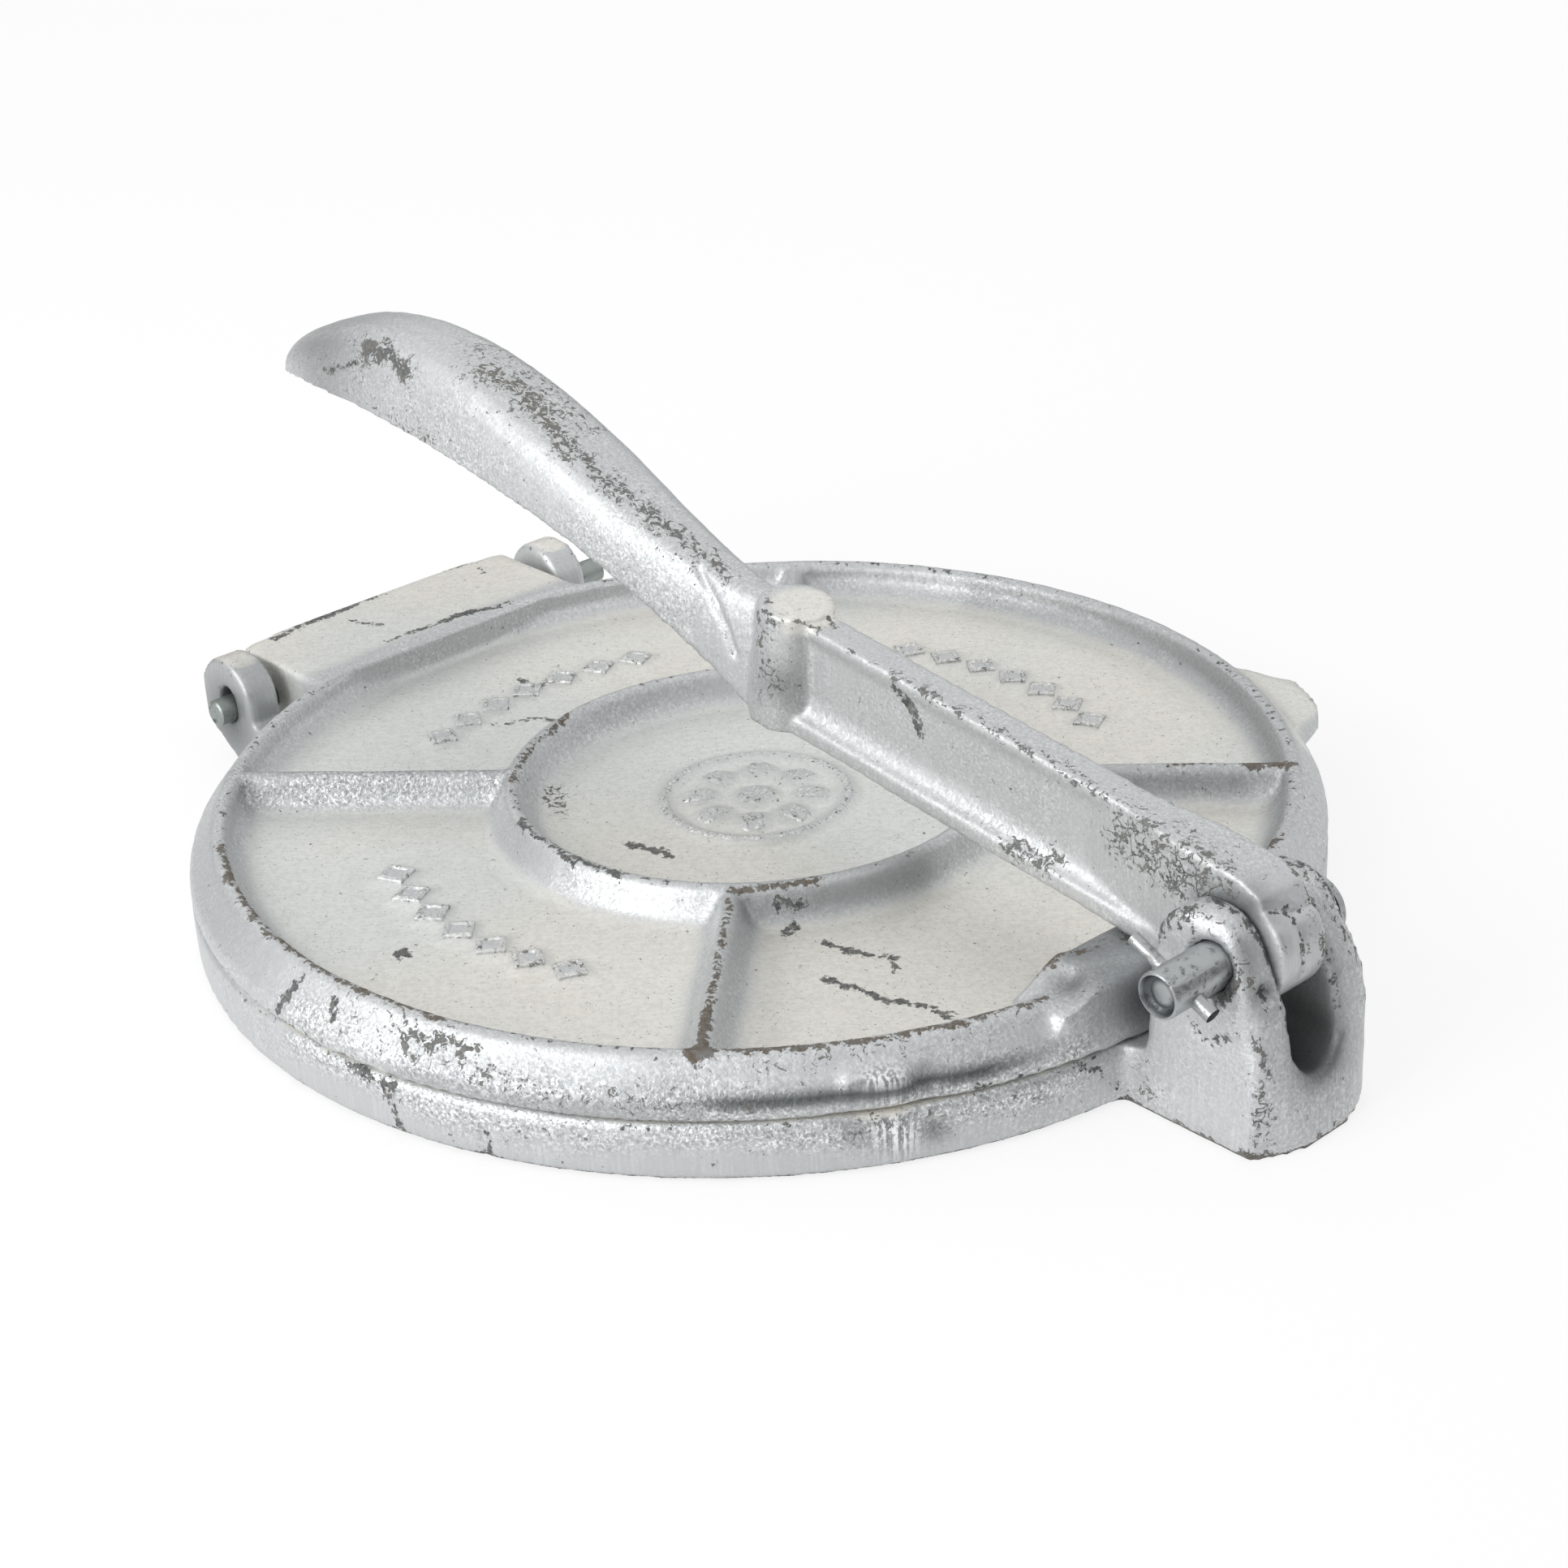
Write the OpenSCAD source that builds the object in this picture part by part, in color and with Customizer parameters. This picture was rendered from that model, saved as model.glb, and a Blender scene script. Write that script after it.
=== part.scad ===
// Tortilla press: two round cast plates hinged at the back, and a long lever on a clevis at the front.
// Frame: +Z up from the table, origin under the centre of the plates, +X toward the clevis, hinge at -X.

/* [Plates] */
// Outer radius of both plates at the line where they meet
plate_r = 104; // [80:0.5:140]
// Height of the base plate above the table
base_h = 10.5; // [8:0.5:16]
// Height of the lid casting from its pressing face to the top of its rim
lid_h = 9.7; // [8:0.1:14]
// Gap between the two pressing faces when the press is closed
face_gap = 0.3; // [0.1:0.1:2]
// Thickness of the lid's plate under its recesses
lid_plate_t = 3.2; // [2.5:0.1:6]
// Thickness of the base's plate over the hollow underside
base_plate_t = 4; // [2.5:0.1:6]
// Distance of the rim's rounded crest inside the plates' edge
rim_in = 6.2; // [4:0.1:15]
// Middle radius of the ring rib
ring_r = 44.7; // [30:0.1:60]
// Half width of a rib at its rounded crest
crest_r = 1.8; // [1:0.1:3]
// Half width of a rib where it meets the plate
rib_foot = 4.2; // [2.5:0.1:7]
// Angle of the first radial rib from the lever's line
rib_turn = 43; // [30:1:60]
// Height of the plain raised ornament
relief_h = 1.0; // [0.3:0.1:2]

/* [Back hinge] */
// Distance of the hinge rod behind the plates' edge
rod_out = 7.5; // [5:0.1:15]
// Height of the hinge rod
rod_z = 12.5; // [10:0.5:20]
// Radius of the hinge rod
rod_r = 2.7; // [1.5:0.1:4]
// Extra height of the ears' upright slots, which let the lid rise over thick dough
rod_float = 1.8; // [0:0.1:6]
// Half width of the lid's hinge tab
tab_half = 33.5; // [20:0.5:60]
// Thickness of each hinge ear
hinge_ear_t = 7.3; // [4:0.1:12]
// Side play between the tab and each ear
tab_play = 2.5; // [0.3:0.1:4]
// Radius of a hinge ear's arched top
hinge_ear_r = 8.8; // [5:0.1:12]

/* [Clevis and pin] */
// Distance of the lever's pin in front of the plates' edge
pin_ahead = 14; // [11:0.5:30]
// Height of the lever's pin
pin_z = 30; // [24:0.5:50]
// Radius of the lever's pin
pin_r = 3.95; // [2.5:0.05:6]
// Width of the slot between the clevis ears
slot_w = 11; // [6:0.1:20]
// Height of the slot's floor above the table
slot_floor = 11; // [6:0.5:20]
// Half width of the clevis block at the table
clevis_half = 14.4; // [9:0.1:24]
// Outer face of the clevis block in front of the pin
clevis_front = 10.5; // [8:0.5:20]
// Gap between the plates' edge and the clevis ears
clevis_gap = 2.6; // [0.5:0.1:5]
// Lean of the clevis block's sides, in degrees
clevis_draft = 3.4; // [0:0.1:8]
// How far the clevis block's outer face swells at the table
clevis_toe = 4.5; // [0.5:0.1:8]
// Length of the pin that stands out of the near ear
pin_out = 11.5; // [6:0.5:20]

/* [Lever] */
// Tilt of the lever when its underside rests on the lid's lug
lever_tilt = 7.5; // [0:0.5:15]
// Distance from the pin to the pressing boss
boss_u = 106.7; // [60:0.5:140]
// Underside of the lever below the pin
lever_low = 9.1; // [7:0.1:14]
// Top of the lever above the pin
lever_top = 12.3; // [8:0.1:18]
// Thickness of the lever's web
web_t = 5; // [3:0.1:10]
// Width of the lever's bottom flange and of its eye
flange_w = 10.4; // [6:0.1:20]
// Radius of the lever's eye around the pin
eye_r = 9.2; // [7:0.1:14]
// Distance from the pin to the handle's tip
handle_u = 260; // [180:0.5:320]
// Distance from the pin to the top of the handle's hump
hump_u = 203; // [140:0.5:240]
// Height of the hump above the pin, square to the lever
hump_w = 28.9; // [15:0.1:50]
// Half width of the grip
grip_half = 11; // [7:0.1:18]
// Wall thickness of the handle's channel
handle_wall = 3.4; // [2:0.1:6]

/* [Lug and tabs] */
// Half length of the lid's pressure lug
lug_half = 19; // [8:0.5:30]
// Distance of the lug's inner face inside the plates' edge
lug_deep = 16; // [9:0.5:24]
// Direction of the lift tab from the lever's line
lift_turn = 63; // [40:0.5:80]
// Direction of the casting gates' stubs from the lever's line
gate_turn = -31.5; // [-60:0.5:-20]

/* [Hidden] */
$fn = 64;
eps = 0.01;
run_gap = 0.08;
metal = [0.80, 0.80, 0.79];
steel = [0.62, 0.61, 0.59];
rim_r = plate_r - rim_in;
rod_x = plate_r + rod_out;
pin_x = plate_r + pin_ahead;
clevis_out = pin_x + clevis_front;
clevis_in = plate_r + clevis_gap;
lid_z = base_h + face_gap;
lid_top = lid_z + lid_h;
lid_floor = lid_z + lid_plate_t;
base_roof = base_h - base_plate_t;
rib_drop = 0.35;
tab_top = lid_top - 0.3;
tab_bow = 3;
tab_lip = 1.6;
knuckle_r = 6.6;
tab_back = rod_x + knuckle_r + tab_lip + tab_bow;
ear_in = tab_half + tab_play;
ear_out = ear_in + hinge_ear_t;
lug_gap = 0.3;
lug_in = plate_r - lug_deep;
lug_flat_out = plate_r - 6.5;
lug_edge_out = plate_r - 2.5;
contact_u = (pin_x - lug_flat_out - lever_low * sin(lever_tilt)) / cos(lever_tilt);
lug_top = pin_z + contact_u * sin(lever_tilt) - lever_low * cos(lever_tilt) - lug_gap;
lug_out = plate_r - 0.5;
clevis_arch_r = 8.6;
clevis_arch = [pin_x - 2.2, pin_z + 0.2];
clevis_shoulder = [clevis_out - 0.2, pin_z - 5.5];
pin_face = clevis_half - pin_z * tan(clevis_draft);
pin_head_r = pin_r + 1.6;
pin_head_y = pin_face + pin_head_r * tan(clevis_draft) + 0.1;
cotter_y = -pin_face - 6.2;
cotter_r = 1.15;
cotter_turn = 25;
loft_start = boss_u + 5;
under_peak = [hump_u + 4, 11.5];
tip_w = 3.5;
stations = 26;
section_steps = 14;
skin_proud = 0.04;

function smooth(t) = t * t * (3 - 2 * t);

// A rib's section, standing on the plate at height 0: sloped sides with a hollow foot and a round crest.
module rib_section(height) {
    polygon([[-rib_foot - 1.4, -eps], [-rib_foot - 1.4, 0], [-rib_foot + 0.4, 0.9],
             [-crest_r, height - crest_r], [crest_r, height - crest_r],
             [rib_foot - 0.4, 0.9], [rib_foot + 1.4, 0], [rib_foot + 1.4, -eps]]);
    translate([0, height - crest_r]) circle(crest_r);
}

// Radial ribs between the ring and the rim, with their foot at height 0.
module radial_ribs(height, outer) {
    for (i = [0:3])
        rotate([0, 0, rib_turn + 90 * i]) translate([ring_r, 0, 0])
            rotate([90, 0, 90]) linear_extrude(outer - ring_r) rib_section(height);
}

// Half-round stub left where the metal ran in, its flat cut level with the plates' meeting line.
module gate_stub(z_low, z_high) {
    rotate([0, 0, gate_turn]) intersection() {
        translate([plate_r - 4, 0, (z_low + z_high) / 2]) rotate([0, 90, 0]) cylinder(r = 5.5, h = 5.3);
        translate([plate_r - 8, -8, z_low]) cube([16, 16, z_high - z_low]);
    }
}

// Two ears of the clevis, seen from the side.
module clevis_profile() {
    d = clevis_shoulder - clevis_arch;
    reach = norm(d);
    touch = atan2(d[1], d[0]) + acos(clevis_arch_r / reach);
    tangent = clevis_arch + clevis_arch_r * [cos(touch), sin(touch)];
    polygon([[plate_r - 12, 0], [clevis_out + clevis_toe, 0], clevis_shoulder, tangent, clevis_arch,
             [clevis_arch[0] - clevis_arch_r, clevis_arch[1]], [clevis_in, base_h + 4],
             [clevis_in, base_h], [plate_r - 12, base_h]]);
    translate(clevis_arch) circle(clevis_arch_r);
}

// Block and ears, with leaning sides, a swollen outer face and the slot for the lever's eye.
module clevis() {
    bow_half = clevis_half - 0.6;
    bow_r = (bow_half * bow_half + clevis_toe * clevis_toe) / (2 * clevis_toe);
    difference() {
        intersection() {
            translate([0, clevis_half, 0]) rotate([90, 0, 0]) linear_extrude(2 * clevis_half) clevis_profile();
            union() {
                translate([clevis_out + clevis_toe - bow_r, 0, -1]) cylinder(r = bow_r, h = pin_z + 30, $fn = 128);
                translate([plate_r - 13, -clevis_half - 1, -1])
                    cube([clevis_out - bow_half * 0.3 - plate_r + 13, 2 * clevis_half + 2, pin_z + 30]);
            }
        }
        for (side = [-1, 1])
            translate([plate_r - 20, side * clevis_half, 0]) rotate([side * clevis_draft, 0, 0])
                translate([0, side > 0 ? 0 : -20, -10]) cube([60, 20, 70]);
        clevis_slot();
    }
}

// Round-bottomed slot right through the clevis along X.
module clevis_slot() {
    r = slot_w / 2;
    translate([clevis_in - 4, 0, slot_floor + r]) rotate([0, 90, 0]) cylinder(r = r, h = 40);
    translate([clevis_in - 4, -r, slot_floor + r]) cube([40, slot_w, 40]);
}

// One hinge ear, seen from the side.
module hinge_ear_profile() {
    cx = -rod_x - 0.3;
    cz = rod_z + rod_float;
    polygon([[cx - hinge_ear_r, cz], [cx - hinge_ear_r, 8], [cx + 3, 0], [-plate_r + 14, 0],
             [-plate_r + 14, base_h], [cx + hinge_ear_r, base_h], [cx + hinge_ear_r, cz]]);
    translate([cx, cz]) circle(hinge_ear_r);
}

// Upright oval hole in both ears.
module rod_slots() {
    r = rod_r + run_gap;
    for (z = [rod_z, rod_z + rod_float])
        translate([-rod_x, -ear_out - 1, z]) rotate([-90, 0, 0]) cylinder(r = r, h = 2 * ear_out + 2);
    translate([-rod_x - r, -ear_out - 1, rod_z]) cube([2 * r, 2 * ear_out + 2, rod_float]);
}

// The hollow under the base: one round pocket, crossed by a ring and four ribs that reach the table.
module base_hollow() {
    rib_h = base_roof;
    difference() {
        translate([0, 0, -eps]) cylinder(r1 = plate_r - 5, r2 = plate_r - 8, h = base_roof + eps);
        difference() {
            translate([0, 0, -1]) cylinder(r = ring_r + 3, h = base_roof + 2);
            translate([0, 0, -2]) cylinder(r = ring_r - 3, h = base_roof + 4);
        }
        for (i = [0:3])
            rotate([0, 0, rib_turn + 90 * i]) translate([ring_r, -2.5, -1]) cube([plate_r, 5, rib_h + 2]);
    }
}

module base_plate() color(metal) difference() {
    union() {
        rotate_extrude()
            polygon([[0, 0], [plate_r - 0.9, 0], [plate_r, 0.9], [plate_r, base_h - 0.8],
                     [plate_r - 0.8, base_h], [0, base_h]]);
        clevis();
        for (y = [-ear_out, ear_in])
            translate([0, y + hinge_ear_t, 0]) rotate([90, 0, 0]) linear_extrude(hinge_ear_t) hinge_ear_profile();
        gate_stub(2.5, base_h - 0.6);
    }
    base_hollow();
    rod_slots();
    translate([pin_x, 0, pin_z]) rotate([90, 0, 0]) cylinder(r = pin_r + run_gap, h = 60, center = true);
}

// The lid's plate with its skirt, rim and ring, as turned on the plates' axis.
module lid_turned() {
    h = lid_top - lid_floor;
    rotate_extrude() {
        polygon([[0, lid_z], [plate_r - 0.5, lid_z], [plate_r, lid_z + 0.6], [plate_r - 0.3, lid_z + 3.4],
                 [rim_r + crest_r - 0.2, lid_top - 1.0], [rim_r, lid_top - crest_r],
                 [rim_r - rib_foot + 0.4, lid_floor + 0.9], [rim_r - rib_foot - 1.4, lid_floor], [0, lid_floor]]);
        translate([rim_r, lid_top - crest_r]) circle(crest_r);
        translate([ring_r, lid_floor]) rib_section(h);
    }
    translate([0, 0, lid_floor]) radial_ribs(h - rib_drop, rim_r);
}

// Plain raised ornament: a rosette in the middle and a row of lozenges in three of the sectors.
module ornament() {
    rosette_r = 18;
    row_r = (ring_r + rim_r) / 2 - 2.7;
    translate([0, 0, lid_floor - eps]) {
        cylinder(r = 3.6, h = relief_h);
        difference() {
            cylinder(r = rosette_r, h = relief_h);
            translate([0, 0, -1]) cylinder(r = rosette_r - 1.9, h = relief_h + 2);
        }
        for (i = [0:7]) rotate([0, 0, 45 * i]) translate([rosette_r - 8, 0, 0]) cylinder(r = 2.9, h = relief_h);
        for (q = [1:3], i = [-3:3])
            rotate([0, 0, 90 * q + 7 * i]) translate([row_r, 0, 0]) cylinder(r = 3.5, h = relief_h, $fn = 4);
    }
}

// Raised pad on the rim that the lever presses, with a straight outer wall down to the skirt.
module pressure_lug() {
    top = lug_top;
    intersection() {
        rotate([90, 0, 90]) translate([0, 0, lug_in]) linear_extrude(plate_r)
            polygon([[-lug_half - 8, lid_z + 2], [-lug_half - 6, lid_top - 1.5], [-lug_half, top - 1.2],
                     [-lug_half + 2.5, top], [lug_half - 2.5, top], [lug_half, top - 1.2],
                     [lug_half + 6, lid_top - 1.5], [lug_half + 8, lid_z + 2]]);
        translate([0, 0, lid_z + 0.2]) cylinder(r = lug_out, h = 30);
        translate([0, lug_half + 10, 0]) rotate([90, 0, 0]) linear_extrude(2 * lug_half + 20)
            polygon([[lug_in, lid_z], [lug_in, lid_floor], [lug_in + 2, top - 1], [lug_in + 3.2, top + eps],
                     [lug_flat_out, top + eps], [lug_edge_out, top - 1.3], [plate_r, top - 4.5], [plate_r, lid_z]]);
    }
}

// Wide tab behind the lid with a long knuckle around the rod.
module hinge_tab() {
    bow_r = (tab_half * tab_half + tab_bow * tab_bow) / (2 * tab_bow);
    translate([0, tab_half, 0]) rotate([90, 0, 0]) linear_extrude(2 * tab_half) {
        polygon([[-rod_x - knuckle_r, rod_z], [-rod_x - knuckle_r, tab_top - 1], [-rod_x - knuckle_r + 1, tab_top],
                 [-plate_r + 11, tab_top], [-plate_r + 11, lid_z + 0.6], [-plate_r - 0.5, lid_z + 0.6],
                 [-rod_x, rod_z]]);
        translate([-rod_x, rod_z]) circle(knuckle_r);
    }
    intersection() {
        translate([0, tab_half, 0]) rotate([90, 0, 0]) linear_extrude(2 * tab_half)
            polygon([[-rod_x, rod_z + 1], [-rod_x - knuckle_r + 0.4, rod_z + 1.6], [-tab_back, tab_top - 2.6],
                     [-tab_back, tab_top - 1.2], [-tab_back + 1.2, tab_top], [-rod_x, tab_top]]);
        translate([bow_r - tab_back, 0, 0]) cylinder(r = bow_r, h = tab_top + 1, $fn = 256);
    }
}

// Points of an arc about a centre, counted in equal steps.
function arc(centre, r, from, to, steps) =
    [for (i = [0:steps]) let (a = from + (to - from) * i / steps) centre + r * [cos(a), sin(a)]];

// Broad tongue for the fingers, with rounded corners and flared roots.
module lift_tab() {
    reach = plate_r + 6;
    half = 11;
    corner = 4;
    rotate([0, 0, lift_turn]) translate([0, 0, lid_z + 0.6]) linear_extrude(5.6)
        polygon(concat(
            [[rim_r + 0.2, -half - 6.5], [plate_r - 1.5, -half - 3.2]],
            arc([reach - corner, -half + corner], corner, -80, -5, 5),
            arc([reach - corner, half - corner], corner, 5, 80, 5),
            [[plate_r - 1.5, half + 3.2], [rim_r + 0.2, half + 6.5]]));
}

module lid_plate() color(metal) difference() {
    union() {
        lid_turned();
        ornament();
        pressure_lug();
        hinge_tab();
        lift_tab();
        gate_stub(lid_z + 0.6, lid_z + 6.5);
    }
    translate([-rod_x, 0, rod_z]) rotate([90, 0, 0]) cylinder(r = rod_r + run_gap, h = 3 * tab_half, center = true);
}

// Height of the handle's crest and underside, in the lever's own frame, at a distance u from the pin.
function crest_at(u) =
    u < hump_u
    ? lever_top + (hump_w - lever_top) * (1 + cos(180 * (hump_u - u) / (hump_u - loft_start))) / 2
    : tip_w + (hump_w - tip_w) * pow(max(0, 1 - pow((u - hump_u) / (handle_u - hump_u), 2)), 0.68);
function under_at(u) =
    u < under_peak[0]
    ? under_peak[1] - (under_peak[1] + lever_low) * pow((under_peak[0] - u) / (under_peak[0] - loft_start), 2.54)
    : under_peak[1] - (under_peak[1] - tip_w) * pow((u - under_peak[0]) / (handle_u - under_peak[0]), 2.9);
// Half width of the handle: it swells from the flange to the grip and closes like a spoon at the tip.
function half_at(u) =
    let (grown = flange_w / 2 + (grip_half - flange_w / 2) * sin(90 * min(1, (u - loft_start) / 70)),
         close_u = handle_u - 34)
    u < close_u ? grown : grown * sqrt(max(0.0004, 1 - pow((u - close_u) / 34, 2)));

// One arched section: flat below, upright sides, round top.
function arch(u, half, low, high) =
    [for (j = [0:section_steps])
        let (a = 180 * j / section_steps, c = cos(a))
        [-u, -half * sign(c) * pow(abs(c), 0.55), low + (high - low) * pow(sin(a), 0.8)]];

// Solid through a list of sections of equal length.
module loft(rings) {
    n = len(rings);
    m = len(rings[0]);
    polyhedron(
        points = [for (r = rings) for (p = r) p],
        faces = concat(
            [[for (j = [0:m - 1]) j]],
            [for (i = [0:n - 2], j = [0:m - 1]) [i * m + j, (i + 1) * m + j, i * m + (j + 1) % m]],
            [for (i = [0:n - 2], j = [0:m - 1]) [i * m + (j + 1) % m, (i + 1) * m + j, (i + 1) * m + (j + 1) % m]],
            [[for (j = [m - 1:-1:0]) (n - 1) * m + j]]));
}

module handle_skin() {
    last = handle_u - 0.15;
    loft([for (i = [0:stations])
        let (u = loft_start + (last - loft_start) * sin(90 * i / stations))
        arch(u, half_at(u) + skin_proud, under_at(u) - skin_proud, crest_at(u) + skin_proud)]);
}

module handle_channel() {
    first = loft_start + 18;
    last = handle_u - 9;
    loft([for (i = [0:16])
        let (u = first + (last - first) * i / 16,
             grow = min(1, (i + 0.5) / 4) * min(1, (16.5 - i) / 4))
        arch(u, max(1.2, half_at(u) - handle_wall), under_at(u) - 2,
             under_at(u) + 0.4 + (crest_at(u) - handle_wall - under_at(u) - 0.4) * smooth(grow))]);
}

// Web with a broad bottom flange and a thin top lip, as one section.
module bar_section() {
    f = flange_w / 2;
    w = web_t / 2;
    hollow = [for (a = [0:15:90]) [f - (f - w) * sin(a), -lever_low + 3.4 + 4.6 * (1 - cos(a))]];
    right = concat([[f, -lever_low]], hollow,
                   [[w, lever_top - 3.4], [w + 0.8, lever_top - 1.8], [w + 0.8, lever_top]]);
    polygon(concat(right, [for (i = [len(right) - 1:-1:0]) [-right[i][0], right[i][1]]]));
}

module eye() {
    f = flange_w / 2;
    nose_r = eye_r - 0.3;
    translate([0, f, 0]) rotate([90, 0, 0]) linear_extrude(2 * f) {
        circle(eye_r);
        polygon([[-14, -lever_low], [0, -lever_low], [0, 0], [nose_r * cos(40), nose_r * sin(40)],
                 [2.5, lever_top - 1.4], [-2, lever_top], [-14, lever_top]]);
    }
    translate([0, 0, -lever_low]) linear_extrude(lever_low + lever_top)
        polygon([[-13.6, -f], [-13.6, f], [-34, web_t / 2], [-34, -web_t / 2]]);
}

module press_lever() color(metal) translate([pin_x, 0, pin_z]) rotate([0, lever_tilt, 0]) difference() {
    union() {
        eye();
        translate([-loft_start - 1, 0, 0]) rotate([90, 0, 90]) linear_extrude(loft_start - 12) bar_section();
        translate([-boss_u, 0, -lever_low]) cylinder(r1 = 7.8, r2 = 6.8, h = lever_low + lever_top + 1.3);
        handle_skin();
    }
    handle_channel();
    rotate([90, 0, 0]) cylinder(r = pin_r + run_gap, h = 30, center = true);
}

module hinge_rod() color(steel)
    translate([-rod_x, -ear_out - 2.6, rod_z]) rotate([-90, 0, 0]) {
        cylinder(r = rod_r, h = 2 * ear_out + 12);
        translate([0, 0, -0.4]) cylinder(r1 = rod_r - 0.4, r2 = rod_r, h = 0.4);
    }

module clevis_pin() color(steel) translate([pin_x, 0, pin_z]) difference() {
    rotate([-90, 0, 0]) union() {
        translate([0, 0, -pin_face - pin_out + 0.7 - eps]) cylinder(r = pin_r, h = pin_face + pin_head_y + pin_out);
        translate([0, 0, -pin_face - pin_out]) cylinder(r1 = pin_r - 0.7, r2 = pin_r, h = 0.7);
        translate([0, 0, pin_head_y]) cylinder(r = pin_head_r, h = 1.2);
        translate([0, 0, pin_head_y + 1.2 - eps]) cylinder(r1 = pin_head_r, r2 = pin_head_r - 0.6, h = 0.5);
    }
    translate([0, -pin_face - pin_out - eps, 0]) rotate([-90, 0, 0]) cylinder(r1 = 2.6, r2 = 2.2, h = 0.6);
    translate([0, cotter_y, 0]) rotate([0, 90 + cotter_turn, 0])
        cylinder(r = cotter_r + run_gap, h = 20, center = true);
}

module cotter_pin() color(metal) translate([pin_x, cotter_y, pin_z]) rotate([0, 90 + cotter_turn, 0]) {
    bend_r = 3.2;
    straight = 7.2;
    translate([0, 0, -10.4]) cylinder(r = cotter_r, h = 10.4 + straight);
    translate([0, bend_r, straight]) rotate([0, 90, 0]) rotate([0, 0, -90])
        rotate_extrude(angle = 42) translate([bend_r, 0]) circle(cotter_r);
}

base_plate();
lid_plate();
press_lever();
hinge_rod();
clevis_pin();
cotter_pin();
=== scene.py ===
# %% [markdown]
# # A tortilla press in cast aluminium
#
# Two round plates meet at a hinge, and a long lever on a clevis squeezes them
# together. The CAD part gives every size and place. This lesson gives it the look of
# metal that was poured into sand: soft edges, a gritty skin, flat panels that were
# rubbed smooth, and a few years of knocks.

import math

import bmesh
import bpy
import numpy as np
from mathutils import Matrix, Vector


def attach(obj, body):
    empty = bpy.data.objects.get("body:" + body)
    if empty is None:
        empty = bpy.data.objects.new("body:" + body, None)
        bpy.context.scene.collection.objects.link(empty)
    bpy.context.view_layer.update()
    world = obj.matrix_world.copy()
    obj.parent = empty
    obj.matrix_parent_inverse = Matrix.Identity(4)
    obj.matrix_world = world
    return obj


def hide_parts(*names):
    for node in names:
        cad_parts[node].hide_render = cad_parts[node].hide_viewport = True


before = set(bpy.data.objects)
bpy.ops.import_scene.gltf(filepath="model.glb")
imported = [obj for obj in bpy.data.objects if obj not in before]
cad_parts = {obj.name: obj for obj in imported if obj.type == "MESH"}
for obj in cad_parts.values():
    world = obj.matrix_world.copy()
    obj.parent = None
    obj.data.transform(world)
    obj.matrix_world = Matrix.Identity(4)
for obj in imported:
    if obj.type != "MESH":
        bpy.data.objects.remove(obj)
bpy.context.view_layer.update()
MM = 0.001

# %% [markdown]
# ## Camera
#
# A product is shown from a little way off through a short telephoto lens, so that
# round things stay round. The camera could be aimed with a constraint, but a rotation
# made from three plain angles says the same thing and can be read back. The camera
# leans a little, which is the roll.

# %% Camera
AIM = Vector((-0.85, 4.12, 10.0)) * MM
CAMERA_AWAY = 545.6 * MM
AZIMUTH, ELEVATION, ROLL = (math.radians(a) for a in (49.23, 27.18, -3.34))
SENSOR, LENS = 36.0, 67.23
SHIFT = (0.0084, 0.0152)
CLIP = (0.01, 50.0)

camera_data = bpy.data.cameras.new("camera")
camera_data.sensor_width, camera_data.lens = SENSOR, LENS
camera_data.shift_x, camera_data.shift_y = SHIFT
camera_data.clip_start, camera_data.clip_end = CLIP
camera = bpy.data.objects.new("camera", camera_data)
bpy.context.collection.objects.link(camera)

turn = Matrix.Rotation(AZIMUTH, 4, "Z") @ Matrix.Rotation(math.pi / 2 - ELEVATION, 4, "X")
camera.matrix_world = (
    Matrix.Translation(AIM) @ turn @ Matrix.Translation((0, 0, CAMERA_AWAY))
    @ Matrix.Rotation(ROLL, 4, "Z"))
bpy.context.scene.camera = camera
print("camera stands at", [round(v / MM) for v in camera.matrix_world.translation], "mm")

# %% [markdown]
# ## Helpers for materials
#
# Colours are written as the hex values that a paint shop would use. Blender mixes
# light in linear numbers, so one function turns them. Another adds a node, sets its
# fields and sockets, and links what it is given. A few fields are used so often that
# they get a name.


# %% Colour and node helpers
RGBA = {"data_type": "RGBA"}
PLUS, TIMES, TIMES_PLUS, MOST = (
    {"operation": name} for name in ("ADD", "MULTIPLY", "MULTIPLY_ADD", "MAXIMUM"))


def paint(hexa):
    """Linear RGBA of an sRGB hex colour such as #d0cdc6."""
    parts = [int(hexa[i:i + 2], 16) / 255 for i in (1, 3, 5)]
    return tuple(c / 12.92 if c <= 0.04045 else ((c + 0.055) / 1.055) ** 2.4
                 for c in parts) + (1.0,)


def node(tree, kind, fields=None, out=0, **sockets):
    """Adds a node and gives back one of its outputs.

    fields are its settings. sockets are values or other nodes' outputs, by the input's
    name with _ for a space, or by its number as _0, _1 and so on.
    """
    made = tree.nodes.new("ShaderNode" + kind)
    for key, value in (fields or {}).items():
        setattr(made, key, value)
    for key, value in sockets.items():
        socket = made.inputs[int(key[1:]) if key[1:].isdigit() else key.replace("_", " ")]
        if isinstance(value, bpy.types.NodeSocket):
            tree.links.new(value, socket)
        else:
            socket.default_value = value
    return made.outputs[out] if made.outputs else made


def new_material(name):
    """An empty node material, with its node tree."""
    material = bpy.data.materials.new(name)
    material.use_nodes = True
    material.node_tree.nodes.clear()
    return material, material.node_tree


def plainly_seen(tree):
    """1 for rays from the camera, off a mirror or through glass, and 0 for the rest."""
    camera_ray, glossy, through = (node(tree, "LightPath", out=f"Is {kind} Ray")
                                   for kind in ("Camera", "Glossy", "Transmission"))
    seen = node(tree, "Math", MOST, _0=camera_ray, _1=glossy)
    return node(tree, "Math", MOST, _0=seen, _1=through)


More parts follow.
